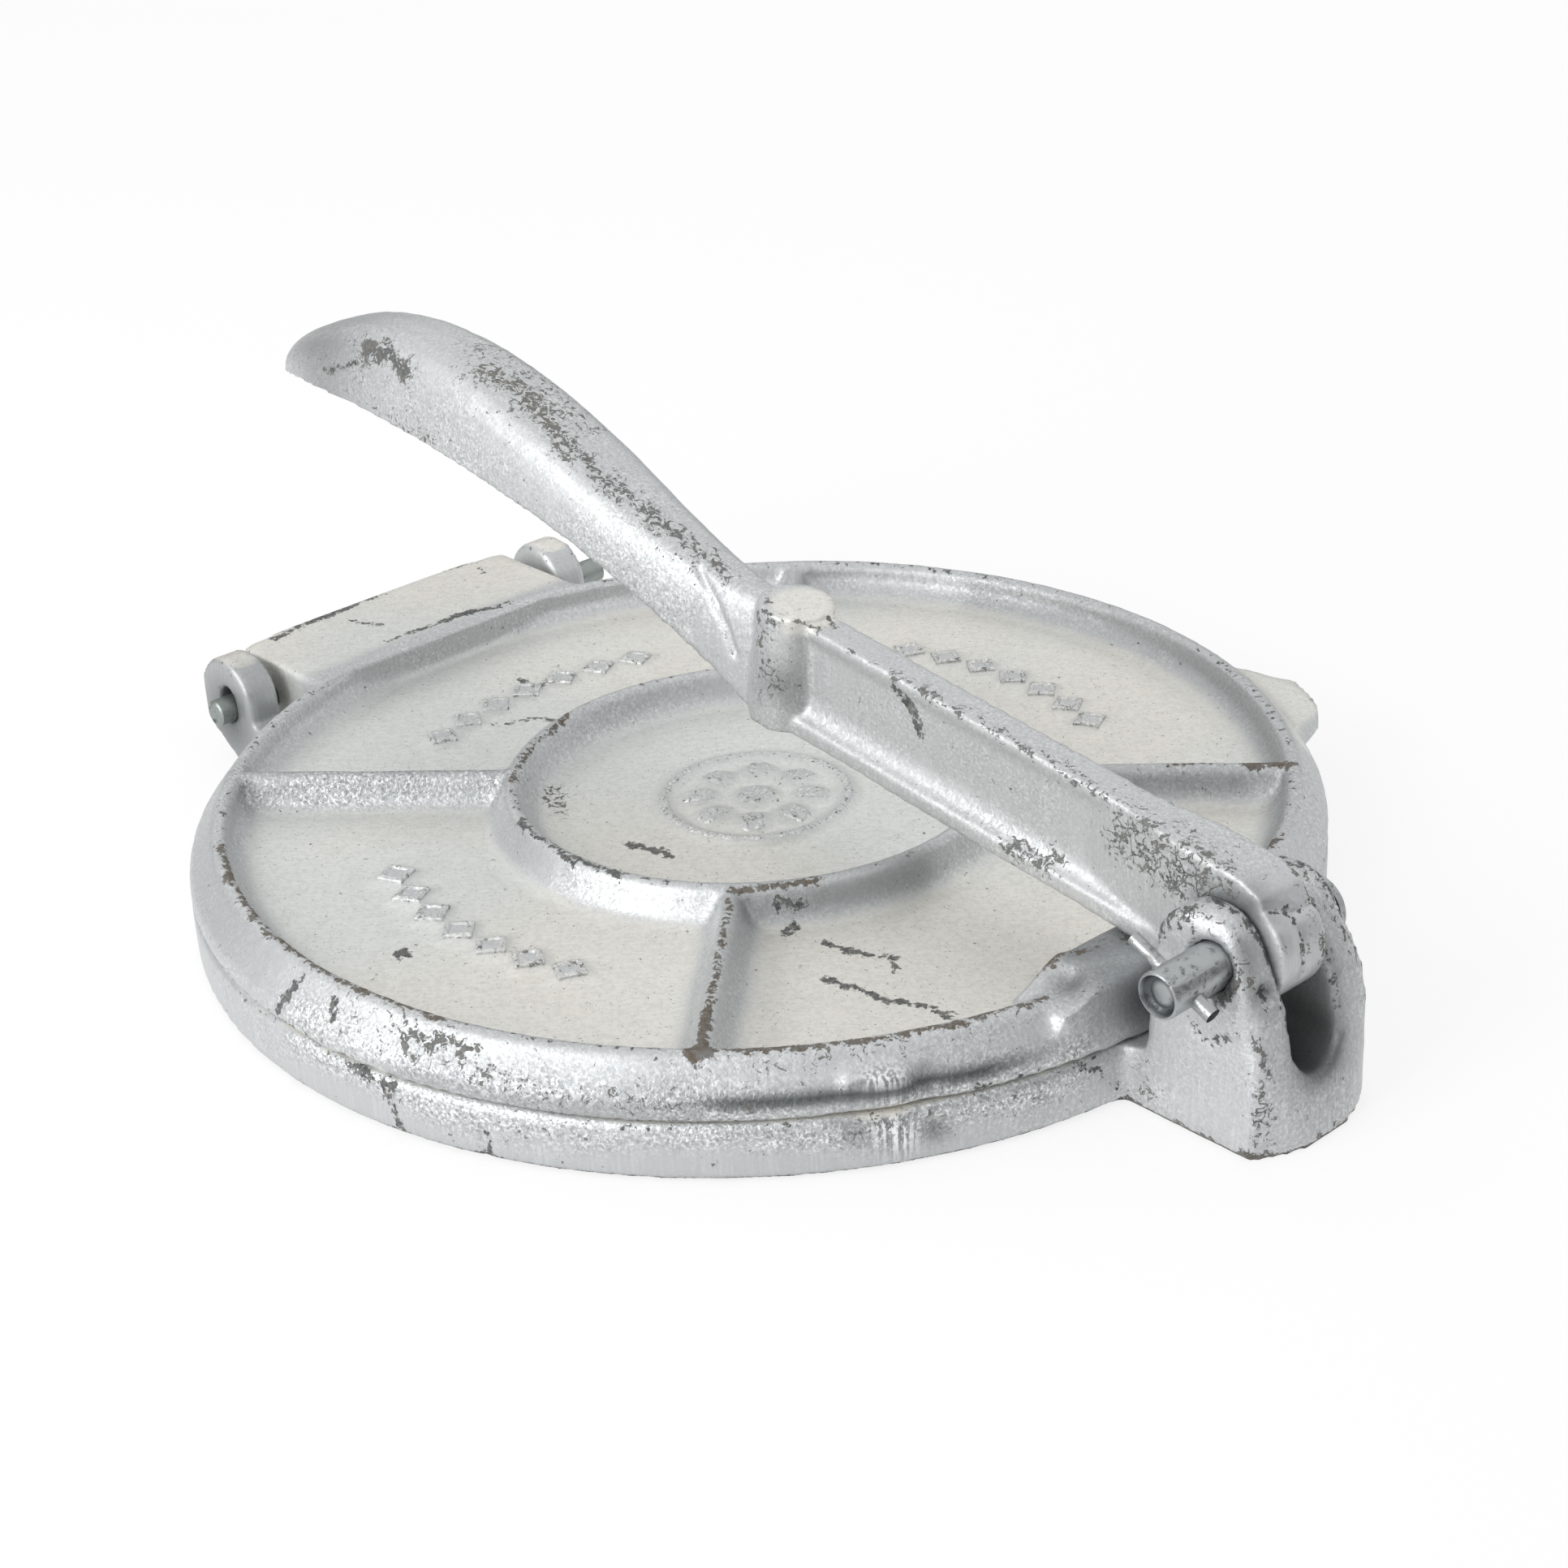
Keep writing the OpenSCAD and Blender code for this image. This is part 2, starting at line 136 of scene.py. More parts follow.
# %% [markdown]
# ## Floor, background and lamps
#
# A studio shot on white paper. The paper could be lit until it burns out, but that
# would flood the metal too. Instead the camera and the reflections see plain white,
# and a part of the paper's own shading is kept so that the press has a faint shadow.


# %% White paper
def fresh(add, **settings):
    """Adds a primitive with nothing else selected, and gives back its object."""
    bpy.ops.object.select_all(action="DESELECT")
    add(**settings)
    return bpy.context.active_object


FLOOR_SIZE = 8.0
UNDER_THE_PRESS = -0.05 * MM
SHADOW_KEPT = 0.20

floor = fresh(bpy.ops.mesh.primitive_plane_add, size=FLOOR_SIZE, location=(0, 0, UNDER_THE_PRESS))
floor.name = "paper_floor"

paper, tree = new_material("matt white paper")
matt = node(tree, "BsdfDiffuse", Color=paint("#fafafa"))
glow = node(tree, "Emission", Color=(1, 1, 1, 1), Strength=1.0)
share = node(tree, "Math", TIMES, _0=plainly_seen(tree), _1=1 - SHADOW_KEPT)
mixed = node(tree, "MixShader", _0=share, _1=matt, _2=glow)
node(tree, "OutputMaterial", Surface=mixed)
floor.data.materials.append(paper)

# %% White surroundings
AMBIENT = 0.88

world = bpy.data.worlds.new("white room")
world.use_nodes = True
bpy.context.scene.world = world
tree = world.node_tree
tree.nodes.clear()
room = node(tree, "MapRange", _0=plainly_seen(tree), _3=AMBIENT, _4=1.0)
node(tree, "OutputWorld", Surface=node(tree, "Background", Color=(1, 1, 1, 1), Strength=room))

# %% Lamps
LAMPS = {
    # name: (place in m, side in m, watts)
    "soft_box_front_left": ((-0.10, -1.25, 0.62), 0.80, 11.2),
    "soft_box_right": ((1.10, 0.20, 0.60), 0.60, 3.0),
}
for name, (place, side, watts) in LAMPS.items():
    lamp_data = bpy.data.lights.new(name, "AREA")
    lamp_data.shape = "SQUARE"
    lamp_data.size, lamp_data.energy = side, watts
    lamp = bpy.data.objects.new(name, lamp_data)
    bpy.context.collection.objects.link(lamp)
    lamp.location = place
    lamp.rotation_euler = (-Vector(place)).to_track_quat("-Z", "Y").to_euler()
bpy.context.scene.view_settings.view_transform = "Standard"

# %% [markdown]
# A matt metal in a white room looks flat, because white comes back from every side.
# So black cards stand round it, out of the picture: the walls that face them turn
# darker and the form reads. The cards are hidden from the camera alone, so they don't
# show from any side.

# %% Black cards
card_black, tree = new_material("black card")
node(tree, "OutputMaterial", Surface=node(tree, "BsdfDiffuse", Color=paint("#2a2a2a")))
CARDS = {
    # name: (angle round the press in degrees, distance, width and height in m)
    "card_right": (5, 0.75, 0.90, 0.55),
    "card_camera": (-45, 0.95, 0.55, 0.40),
    "card_back": (135, 1.70, 2.20, 0.50),
    "card_left": (200, 1.50, 1.40, 0.55),
}
for name, (angle, away, width, height) in CARDS.items():
    heading = math.radians(angle)
    card = fresh(bpy.ops.mesh.primitive_plane_add, size=1.0,
                 rotation=(math.pi / 2, 0, math.radians(angle - 90)))
    card.name = name
    card.scale = (width, height, 1)
    card.location = (away * math.cos(heading), away * math.sin(heading), height / 2)
    card.visible_camera = False
    card.data.materials.append(card_black)

# %% [markdown]
# ## Turning CAD solids into castings
#
# A pattern is pressed into sand and metal is poured in, so a casting has no sharp
# edge anywhere. Bevelling the CAD edges one by one could give that, but the joins of
# ribs, rim and ring are too tangled for it. A voxel remesh of a copy, smoothed a few
# times, rounds every edge and fillets every corner by about the same millimetre,
# which is just what sand does. Two displacements then make it a little uneven: a slow
# one for walls that aren't quite true, and a quick one for the grain of the sand.


# %% Copy, remesh and soften a node
def select_only(obj):
    """Deselects everything else and makes obj the active object."""
    bpy.ops.object.select_all(action="DESELECT")
    obj.select_set(True)
    bpy.context.view_layer.objects.active = obj


def apply_modifier(obj, kind, **settings):
    """Adds one modifier, sets it and applies it."""
    modifier = obj.modifiers.new(kind.lower(), kind)
    for key, value in settings.items():
        setattr(modifier, key, value)
    select_only(obj)
    bpy.ops.object.modifier_apply(modifier=modifier.name)


def softened_copy(cad_node, name, voxel_mm, rounds):
    """A rounded, evenly meshed copy of a CAD node, smoothed for some rounds."""
    copy = bpy.data.objects.new(name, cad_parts[cad_node].data.copy())
    bpy.context.collection.objects.link(copy)
    copy.data.materials.clear()
    select_only(copy)
    bpy.ops.object.mode_set(mode="EDIT")
    bpy.ops.mesh.select_all(action="SELECT")
    bpy.ops.mesh.remove_doubles(threshold=0.002 * MM)
    bpy.ops.object.mode_set(mode="OBJECT")
    apply_modifier(copy, "REMESH", mode="VOXEL", voxel_size=voxel_mm * MM,
                   use_smooth_shade=True)
    apply_modifier(copy, "SMOOTH", factor=0.5, iterations=rounds)
    return copy


# %% The three castings
lid = softened_copy("lid_plate", "lid_casting", 1.0, 2)
base = softened_copy("base_plate", "base_casting", 1.05, 2)
lever = softened_copy("press_lever", "lever_casting", 0.6, 3)
for piece in (lid, base, lever):
    print(piece.name, len(piece.data.polygons) * 2, "triangles")


# %% [markdown]
# ## Working on vertices as arrays
#
# The next steps ask of every vertex how far it is from a scratch, or how sharply it
# sticks out. A Python loop over the lid's 94,000 vertices is slow, so places and
# normals are read into arrays and measured all together.


# %% Places, normals and neighbours
def places(piece):
    """The vertices' places in mm, as an array."""
    flat = np.empty(len(piece.data.vertices) * 3, np.float32)
    piece.data.vertices.foreach_get("co", flat)
    return flat.reshape(-1, 3).astype(float) / MM


def move_to(piece, points):
    """Puts the vertices at these places in mm."""
    piece.data.vertices.foreach_set("co", (points * MM).astype(np.float32).ravel())
    piece.data.update()


def directions(piece):
    """The vertices' normals, as an array."""
    flat = np.empty(len(piece.data.vertices) * 3, np.float32)
    piece.data.vertex_normals.foreach_get("vector", flat)
    return flat.reshape(-1, 3).astype(float)


def blurred(piece, values, times):
    """values averaged over each vertex's neighbours, a few times over."""
    ends = np.empty(len(piece.data.edges) * 2, np.int32)
    piece.data.edges.foreach_get("vertices", ends)
    one, two = ends[0::2], ends[1::2]
    count = np.bincount(ends, minlength=len(values)).astype(float)
    columns = values.reshape(len(values), -1).astype(float)
    for _ in range(times):
        columns = np.stack([
            (np.bincount(one, c[two], len(c)) + np.bincount(two, c[one], len(c))) / count
            for c in columns.T], axis=1)
    return columns.reshape(values.shape)


def distance_to(points, line):
    """Distance from each point to a broken line, all in mm."""
    line = np.array(line, float)
    if len(line) == 1:
        return np.linalg.norm(points - line[0], axis=1)
    best = np.full(len(points), 1e9)
    for a, b in zip(line[:-1], line[1:]):
        t = np.clip(((points - a) @ (b - a)) / ((b - a) @ (b - a)), 0, 1)
        best = np.minimum(best, np.linalg.norm(points - a - t[:, None] * (b - a), axis=1))
    return best


def near(points, reach, line):
    """1 on a line, falling off smoothly over the reach."""
    return np.exp(-(distance_to(points, line) / reach) ** 2)


def polar(points):
    """Distance from the plates' axis, and the angle round it in degrees."""
    x, y = points[:, 0], points[:, 1]
    return np.hypot(x, y), np.degrees(np.arctan2(y, x))


# %% [markdown]
# ## Uneven walls, dents and clear bores
#
# The displacements act through a vertex group, so flat rubbed panels stay flat. A
# dent is a soft push along the normals beside a short line: a crease where the grip
# meets the boss, a chipped corner, a notch from the mould. Last, the holes for the
# pins are opened again to their drilled size, because smoothing closes them a little.


# %% Displacement, dents and bores
SWELL_SIZE, GRAIN_SIZE = 14.0, 1.9


def roughen(piece, slow_mm, grain_mm, amount):
    """Displaces a piece by a slow swell and by grain. amount is one weight per vertex."""
    group = piece.vertex_groups.new(name="cast_skin")
    steps = np.round(amount * 10).astype(int)
    for step in range(1, 11):
        group.add(np.flatnonzero(steps == step).tolist(), step / 10, "REPLACE")
    for label, size, strength in (("swell", SWELL_SIZE, slow_mm),
                                  ("grain", GRAIN_SIZE, grain_mm)):
        clouds = bpy.data.textures.new(f"{piece.name}_{label}", "CLOUDS")
        clouds.noise_scale = size * MM
        clouds.noise_depth = 2
        apply_modifier(piece, "DISPLACE", texture=clouds, texture_coords="LOCAL",
                       strength=strength * MM, mid_level=0.5, vertex_group="cast_skin")


def dent(piece, depth_mm, reach_mm, line):
    """Pushes the surface in along a line. A negative depth raises a ridge."""
    points = places(piece)
    push = depth_mm * near(points, reach_mm, line)
    move_to(piece, points - directions(piece) * push[:, None])


def ease(piece, reach_mm, times, line):
    """Rounds a corner off further, along a line."""
    points = places(piece)
    share = near(points, reach_mm, line)[:, None]
    move_to(piece, points + (blurred(piece, points, times) - points) * share)


def open_bore(piece, x, z, radius, half_length):
    """Moves what lies inside a bore along Y out to its wall."""
    points = places(piece)
    out = points[:, [0, 2]] - np.array((x, z))
    away = np.linalg.norm(out, axis=1)
    inside = (away < radius) & (np.abs(points[:, 1]) < half_length)
    scale = np.where(inside, radius / np.maximum(away, 0.5), 1.0)
    points[:, [0, 2]] = np.array((x, z)) + out * scale[:, None]
    move_to(piece, points)
    print(piece.name, "bore opened at", inside.sum(), "vertices")


# %% Which parts are flat and rubbed
LID_FLOOR = 14.0
BOSS_X, BOSS_R = 16.0, 6.2

# The lid: its sunk panels, the hinge tab, the lift tab's top and the pressing face.
points, normals = places(lid), directions(lid)
radius, around = polar(points)
on_tab = (points[:, 0] < -98) & (np.abs(points[:, 1]) < 36)
on_lift_tab = (radius > 100) & (around > 50) & (around < 76)
lid_panel = ((normals[:, 2] > 0.9) & (points[:, 2] < LID_FLOOR + 0.7) & (radius < 99) | on_tab
             | on_lift_tab & (normals[:, 2] > 0.6) | (normals[:, 2] < -0.9)).astype(float)
lid_panel = blurred(lid, lid_panel, 2)
roughen(lid, slow_mm=0.25, grain_mm=0.16, amount=np.clip(1 - lid_panel, 0, 1))

# The base: its level faces and hinge ears, and the skirt low down and on the left.
points, normals = places(base), directions(base)
radius, around = polar(points)
base_panel = ((np.abs(normals[:, 2]) > 0.9) & (points[:, 0] < 100)).astype(float)
ground = ((radius > 102) & (points[:, 0] < 98)) * 1.0
lower = np.clip((5.5 + 2 * np.sin(points[:, 0] / 9) - points[:, 2]) / 2.5, 0, 1)
left = np.clip((-103 - around) / 10, 0, 1) * (around < 0)
ears = (points[:, 0] < -99) * 1.0
base_smooth = np.clip(np.maximum(ground * np.maximum(lower, left), ears) * 0.9, 0, 1)
roughen(base, slow_mm=0.25, grain_mm=0.14,
        amount=np.clip(1 - np.maximum(base_panel, base_smooth), 0, 1))

# The lever: only the top of its boss.
points = places(lever)
boss_top = (np.hypot(points[:, 0] - BOSS_X, points[:, 1]) < BOSS_R) & (points[:, 2] > 54)
lever_panel = boss_top.astype(float)
roughen(lever, slow_mm=0.3, grain_mm=0.10, amount=1 - lever_panel)

# %% Corners rounded off, stubs cut flush
GATE_KEPT = 0.25
ease(base, 3.2, 16, [(117, -12, 38.5), (123, -12.2, 35.5), (127, -12.4, 29), (128.5, -13, 20)])
for piece, flush in ((lid, 104.3), (base, 104.2)):
    points = places(piece)
    radius, around = polar(points)
    stub = (points[:, 0] > 80) & (points[:, 0] < 97) & (points[:, 1] < -40) & (radius > flush)
    points[:, :2] *= np.where(stub, (flush + GATE_KEPT * (radius - flush)) / radius, 1.0)[:, None]
    move_to(piece, points)
for piece, reach, times, line in (
        (lid, 5.0, 30, [(40.1, 103, 15)]),
        (lid, 5.0, 30, [(59.7, 93, 15)]),
        (lid, 5.0, 10, [(88, -57, 15.5), (92.5, -49.5, 15.5)]),
        (base, 4.0, 8, [(88, -57, 8), (92.5, -49.5, 7)])):
    ease(piece, reach, times, line)

# %% Dents, ridges and bores
for piece, depth, reach, line in (
        # creases between grip and boss
        (lever, 0.8, 0.8, [(-6.8, -4.6, 59.3), (-1.9, -5.4, 54.8), (1.2, -5.6, 50.2),
                           (3, -5.6, 46)]),
        (lever, 0.35, 0.8, [(-4.4, -5.9, 55), (-6, -6.7, 51.7), (-7.3, -7.1, 48.2)]),
        # seams on the nose
        (lever, 0.45, 0.8, [(124.2, -0.2, 36.8), (126, -0.5, 34.5), (127, -0.5, 31.6),
                            (126.7, 0, 27)]),
        (lever, 0.35, 0.8, [(122.9, -4.8, 39), (124.3, 1.3, 36.7), (124.3, 5.2, 36.5)]),
        # a knocked lug, with its burr below, and both ends of the two gates
        (lid, 1.5, 2.4, [(95, -18.8, 21.6)]),
        (lid, 1.5, 2.3, [(88, -58.8, 15.4)]),
        (lid, 1.5, 2.3, [(93.4, -47.8, 14.8)]),
        (base, 1.1, 2.0, [(88, -58.8, 7.8)]),
        (base, 1.1, 2.0, [(94, -47, 6.2)]),
        (lid, -0.6, 1.8, [(91, -16.5, 22.8)]),
        # a notch from the mould, then a pit and an arc on the clevis
        (base, 0.6, 0.9, [(40.9, -95.6, 5), (40.9, -95.6, 0)]),
        (base, 1.4, 1.8, [(126.1, -8.8, 27.3)]),
        (base, 0.35, 0.8, [(115.7, -13.2, 19.9), (117.7, -13.3, 18.3), (120.9, -13.3, 18.6),
                           (124, -13.2, 20.5)])):
    dent(piece, depth, reach, line)

PIN_X, PIN_Z = 118.0, 30.0
ROD_X, ROD_Z = -111.5, 12.5
for piece, x, z, radius, half_length in (
        (lever, PIN_X, PIN_Z, 4.15, 8.0),
        (base, PIN_X, PIN_Z, 4.10, 14.0),
        (lid, ROD_X, ROD_Z, 2.85, 35.0)):
    open_bore(piece, x, z, radius, half_length)

# %% [markdown]
# ## Where the castings are worn, cracked and dirty, and where shade is painted on
#
# One material serves all three castings, so each vertex tells it what it sits on.
# Painting masks by hand would need an image; here they are measured from the mesh and
# from short lists of places. A mark is a line or a spot with a half width. The line
# is made to wander by a few sine waves, so that no crack runs straight.

# %% Marks
MARKS = {
    # casting: {name: (half width in mm, brown or not, points in mm)}
    "lid": {
        "skirt crack": (1.15, 0, [(-0.6, -100.7, 17.9), (-1.4, -102, 16.2),
            (-3.3, -103.7, 13.5)]),
        "skirt fleck": (1.0, 0, [(22, -101.3, 14.6)]),
        "skirt fleck 2": (1.1, 0, [(8.8, -99.8, 18.6), (10.5, -101.2, 16.6)]),
        "side fleck": (1.9, 0, [(-1.4, -79.3, 14)]),
        "worn rib": (1.05, 1, [(33.6, -36.2, 20.3), (46, -49.3, 20.3), (65.5, -70, 20.3)]),
        "rib end": (1.7, 1, [(58, -62.2, 20.2), (66, -71, 20.4)]),
        "rib end blob": (3.2, 1, [(66.3, -71, 20.4)]),
        "ring line": (1.1, 0, [(-15.7, -42.5, 20.4), (-7.9, -44, 20.5), (1.7, -45.3, 20.4),
            (14, -43, 20.4)]),
        "ring line right": (1.0, 1, [(31.1, -34.5, 20.2), (34, -31, 20.5), (40.1, -22.1, 20)]),
        "ring line left": (0.95, 1, [(-29.4, -33.4, 20.3), (-37.5, -24, 20.3),
            (-43.6, -8.7, 20.3)]),
        "ring wall chip": (1.5, 0, [(37.9, -28.7, 17.9), (40.3, -26.3, 17)]),
        "ring drip": (1.2, 0, [(41.4, -28.4, 14.3), (41.3, -30.8, 14)]),
        "front crack": (1.15, 0, [(47.7, -28.3, 14), (53.9, -27.4, 14), (61, -23.5, 14),
            (63.8, -26.5, 14)]),
        "front scratch": (1.15, 0, [(57, -36.6, 14), (62, -35.2, 14), (70, -33.9, 14),
            (75, -31.2, 14), (80.9, -30.6, 14)]),
        "back scribble": (1.1, 0, [(-75, 3.5, 14.6), (-68.4, 2, 15), (-70.5, 7.9, 15),
            (-74.8, 12.3, 14.4)]),
        "back scribble 2": (0.8, 0, [(-62.5, -13.5, 14), (-60, -11.8, 14), (-58.5, -6.1, 14),
            (-54.8, -4.3, 14)]),
        "centre dirt": (1.3, 0, [(-3.5, -28, 14), (2.5, -25.5, 14), (5.5, -25.8, 14)]),
        "rim line front": (1.15, 1, [(69, -69, 20.4), (77, -60.3, 20.4), (83.2, -52, 20.4),
            (90.4, -38, 20.4), (94.6, -24, 20.4)]),
        "rim line left": (1.1, 1, [(-48.3, -84.5, 20.4), (-35.1, -90.8, 20.4),
            (-14.5, -96.6, 20.4), (8.8, -97.4, 20.4), (30, -93, 20.4)]),
        "rim line back": (0.95, 0, [(-99.2, -12, 20.2), (-99.2, 1, 20.2), (-98.2, 8, 20.3),
            (-95.4, 18.5, 20.3)]),
        "rim back dark": (1.5, 0, [(-99, 2.5, 20.2), (-98, 10.5, 20.3)]),
        "right rib": (1.6, 1, [(66, 61.5, 20.3), (69, 64.2, 20.4), (71.5, 65.6, 20.4)]),
        "right rim": (0.6, 1, [(55, 51.3, 20.2), (66, 61.5, 20.3)]),
        "comb": (2.1, 1, [(88.4, 35, 19.6), (87.8, 40.5, 19.4)]),
        "tab edge": (1.4, 0, [(-118.8, -26, 20), (-120.2, -14, 20), (-121.2, 2, 19.9)]),
        "tab edge far": (0.7, 0, [(-121.5, 16, 19.8), (-120.4, 26, 19.8)]),
        "tab specks": (0.9, 0, [(-114.3, -10.7, 20.2), (-107.3, -7.4, 20.2)]),
        "tab streak": (0.9, 0, [(-117.9, 26.4, 20.2), (-113.5, 24.3, 20.2)]),
        "lug line": (1.0, 1, [(90.5, -19, 22.2), (92.5, -14, 23.4), (94, -8, 24)]),
        "lug top": (3.4, 0, [(96.4, -3.2, 24.6)]),
    },
    "base": {
        "low crack": (0.95, 0, [(23.2, -101.4, 8.5), (24.5, -101.1, 5.9), (25.3, -100.9, 2.3)]),
        "low flecks": (1.2, 0, [(15.4, -102.6, 9.8), (20, -101.8, 9.4), (25, -101, 9.2)]),
        "mould notch": (1.0, 0, [(40.9, -95.1, 4.6), (40.9, -95, 0)]),
        "ear pit": (1.6, 0, [(125.6, -8.8, 27.3)]),
        "bore chips": (1.4, 0, [(122.6, -12.8, 31.8), (123, -12.9, 28.4), (121.2, -13, 25.8)]),
        "ear arc": (0.85, 0, [(115.7, -13.2, 19.9), (117.7, -13.3, 18.3), (120.9, -13.3, 18.6),
            (124, -13.2, 20.5)]),
        "neck crack": (0.8, 0, [(100.9, -22.7, 10.2), (102.6, -16.9, 5.2), (103.8, -14.3, 1.5)]),
    },
    "lever": {
        "web crack": (1.05, 0, [(41.3, -2.9, 50.8), (42.5, -2.5, 48.8), (43.8, -2.5, 47.5),
            (45.5, -2.5, 45.6), (46.7, -2.5, 43)]),
        "grip patch tip": (0.8, 0, [(-111.6, -10.6, 75.1), (-105.6, -10.5, 77.2),
            (-100.2, -10.1, 79.1)]),
        "nose seam": (0.7, 0, [(124.2, -0.2, 36.8), (126, -0.5, 34.5), (127, -0.5, 31.6),
            (126.7, -0.1, 27)]),
        "nose cross": (0.55, 0, [(122.9, -4.8, 39), (124.3, 1.3, 36.7), (124.3, 5.2, 36.5)]),
    },
}
print("marks:", {key: len(lines) for key, lines in MARKS.items()})

# %% Worn stretches
WORN = {
    # casting: {name: (how worn, up to about 1, reach in mm, brown or not, points in mm)}
    "lid": {
        "skirt flecks": (0.9, 2.2, 0, [(24.8, -97.7, 17.4), (30, -96, 17.6), (36, -93.6, 18.2)]),
        "skirt mid": (0.50, 2.4, 0, [(30, -99.4, 15.5), (56, -87.6, 14.6), (78, -69, 13.6)]),
        "skirt lid": (0.40, 5.0, 0, [(14, -99.5, 18), (36, -93.3, 18.7)]),
        "skirt right": (0.50, 1.9, 0, [(60, -83, 14.2), (77.2, -68, 14), (92, -45, 13)]),
        "rim right": (0.45, 2.2, 0, [(74, -67, 18.8), (86, -51, 18.8), (95, -30, 18.8)]),
        "centre fleck": (0.62, 4.2, 0, [(-29.8, -24, 14), (-24.4, -27.6, 14)]),
        "rib ends": (0.40, 3.5, 1, [(66, -71, 18)]),
        "lift tab edge": (0.85, 1.1, 0, [(53.2, 95.2, 16.6), (56.3, 94.4, 16.4),
            (58.6, 90, 15.8)]),
        "lug wall": (0.38, 4.0, 0, [(99, -15, 19), (102, -6, 18)]),
    },
    "base": {
        "skirt base": (0.42, 3.0, 0, [(10, -103.2, 9.2), (24, -101, 8)]),
        "skirt base mid": (0.38, 2.2, 0, [(44, -94, 7.5), (56, -87, 6.5)]),
        "skirt base right": (0.44, 2.8, 0, [(86, -58.5, 8), (95.6, -41, 8), (100.9, -22.7, 6)]),
        "clevis corner": (0.85, 1.6, 0, [(128, -12.4, 22), (129.6, -13.2, 12)]),
        "clevis low corner": (0.95, 2.8, 0, [(129.8, -13.4, 9), (131, -13.8, 0)]),
        "clevis far corner": (0.45, 1.4, 0, [(128, 12.4, 26), (129, 13.2, 10), (129.2, 13.5, 0)]),
        "clevis foot": (0.85, 1.4, 1, [(104, -14, 0), (128.6, -14.3, 0), (132.6, -4, 0),
            (132.6, 4, 0), (128.6, 14.3, 0)]),
        "near ear rim": (0.62, 2.0, 0, [(110, -11.2, 37), (116, -11.2, 39), (121.5, -11, 36.7),
            (127, -10.5, 26)]),
        "far ear rim": (0.70, 2.2, 0, [(116, 11.2, 39), (121.5, 11, 36.7), (127.6, 11.5, 26)]),
        "clevis root": (0.40, 4.0, 0, [(107, -13, 8), (108, -13.2, 2)]),
        "hinge ear rim": (0.50, 1.2, 0, [(-120.6, -43, 14), (-118, -43, 20.5),
            (-111.8, -43, 23.1), (-105.6, -43, 20.5)]),
    },
    "lever": {
        "grip patch": (1.05, 3.0, 0, [(-97.5, -9, 82.3), (-90.5, -9, 82), (-85, -9.2, 81)]),
        "grip side": (0.55, 4.5, 0, [(-102.8, -8.9, 81.9), (-93.2, -8.8, 82.4),
            (-83.9, -9.2, 80.4)]),
        "grip crest": (0.75, 5.5, 1, [(-67.6, -3, 82.5), (-59.3, -1.6, 80.4),
            (-48.9, -2.5, 76.6)]),
        "neck": (0.80, 3.2, 0, [(-48.9, -3.5, 76.6), (-39.4, -3.9, 72.6), (-30.1, -3.2, 68.6),
            (-14.8, -1.7, 62.7), (-3, -1.5, 58.5)]),
        "grip top": (0.52, 8.0, 1, [(-74.1, 2.5, 84.1), (-46.5, 3.2, 75.5)]),
        "grip tip": (0.30, 9.0, 0, [(-118, -7, 74), (-104, -10, 76)]),
        "under the thumb": (0.45, 4.5, 0, [(-97, -10.9, 72.3), (-84.5, -11, 70),
            (-76.5, -11, 67.6)]),
        "boss rim": (0.85, 1.6, 0, [(BOSS_X + 6.9 * math.cos(a), 6.9 * math.sin(a), 56.0)
                                    for a in np.linspace(0, 2 * math.pi, 13)]),
        "boss side": (0.60, 4.5, 0, [(12, -6.5, 52), (14, -7, 44)]),
        "web lip": (0.72, 1.5, 0, [(36, -2.6, 53), (66.4, -2, 49.2), (81.5, -2.2, 47),
            (95.3, -3.3, 45.2), (105.5, -3.5, 43.9), (114.7, -3.5, 42.6)]),
        "web nose": (0.55, 6.0, 0, [(96, -3.9, 44), (105.4, -5.1, 42), (113.1, -4.6, 40)]),
        "web lower nose": (0.48, 6.0, 0, [(92.2, -3.4, 40.5), (105.6, -5.2, 35.5)]),
        "nose back": (0.75, 3.0, 1, [(120, 4.8, 39.5), (125, 5.2, 36), (127.2, 5.2, 29)]),
        "flange": (0.75, 2.6, 0, [(68.3, -4.9, 30.3), (79.5, -3.6, 30.6)]),
    },
}
print("worn stretches:", {key: len(lines) for key, lines in WORN.items()})
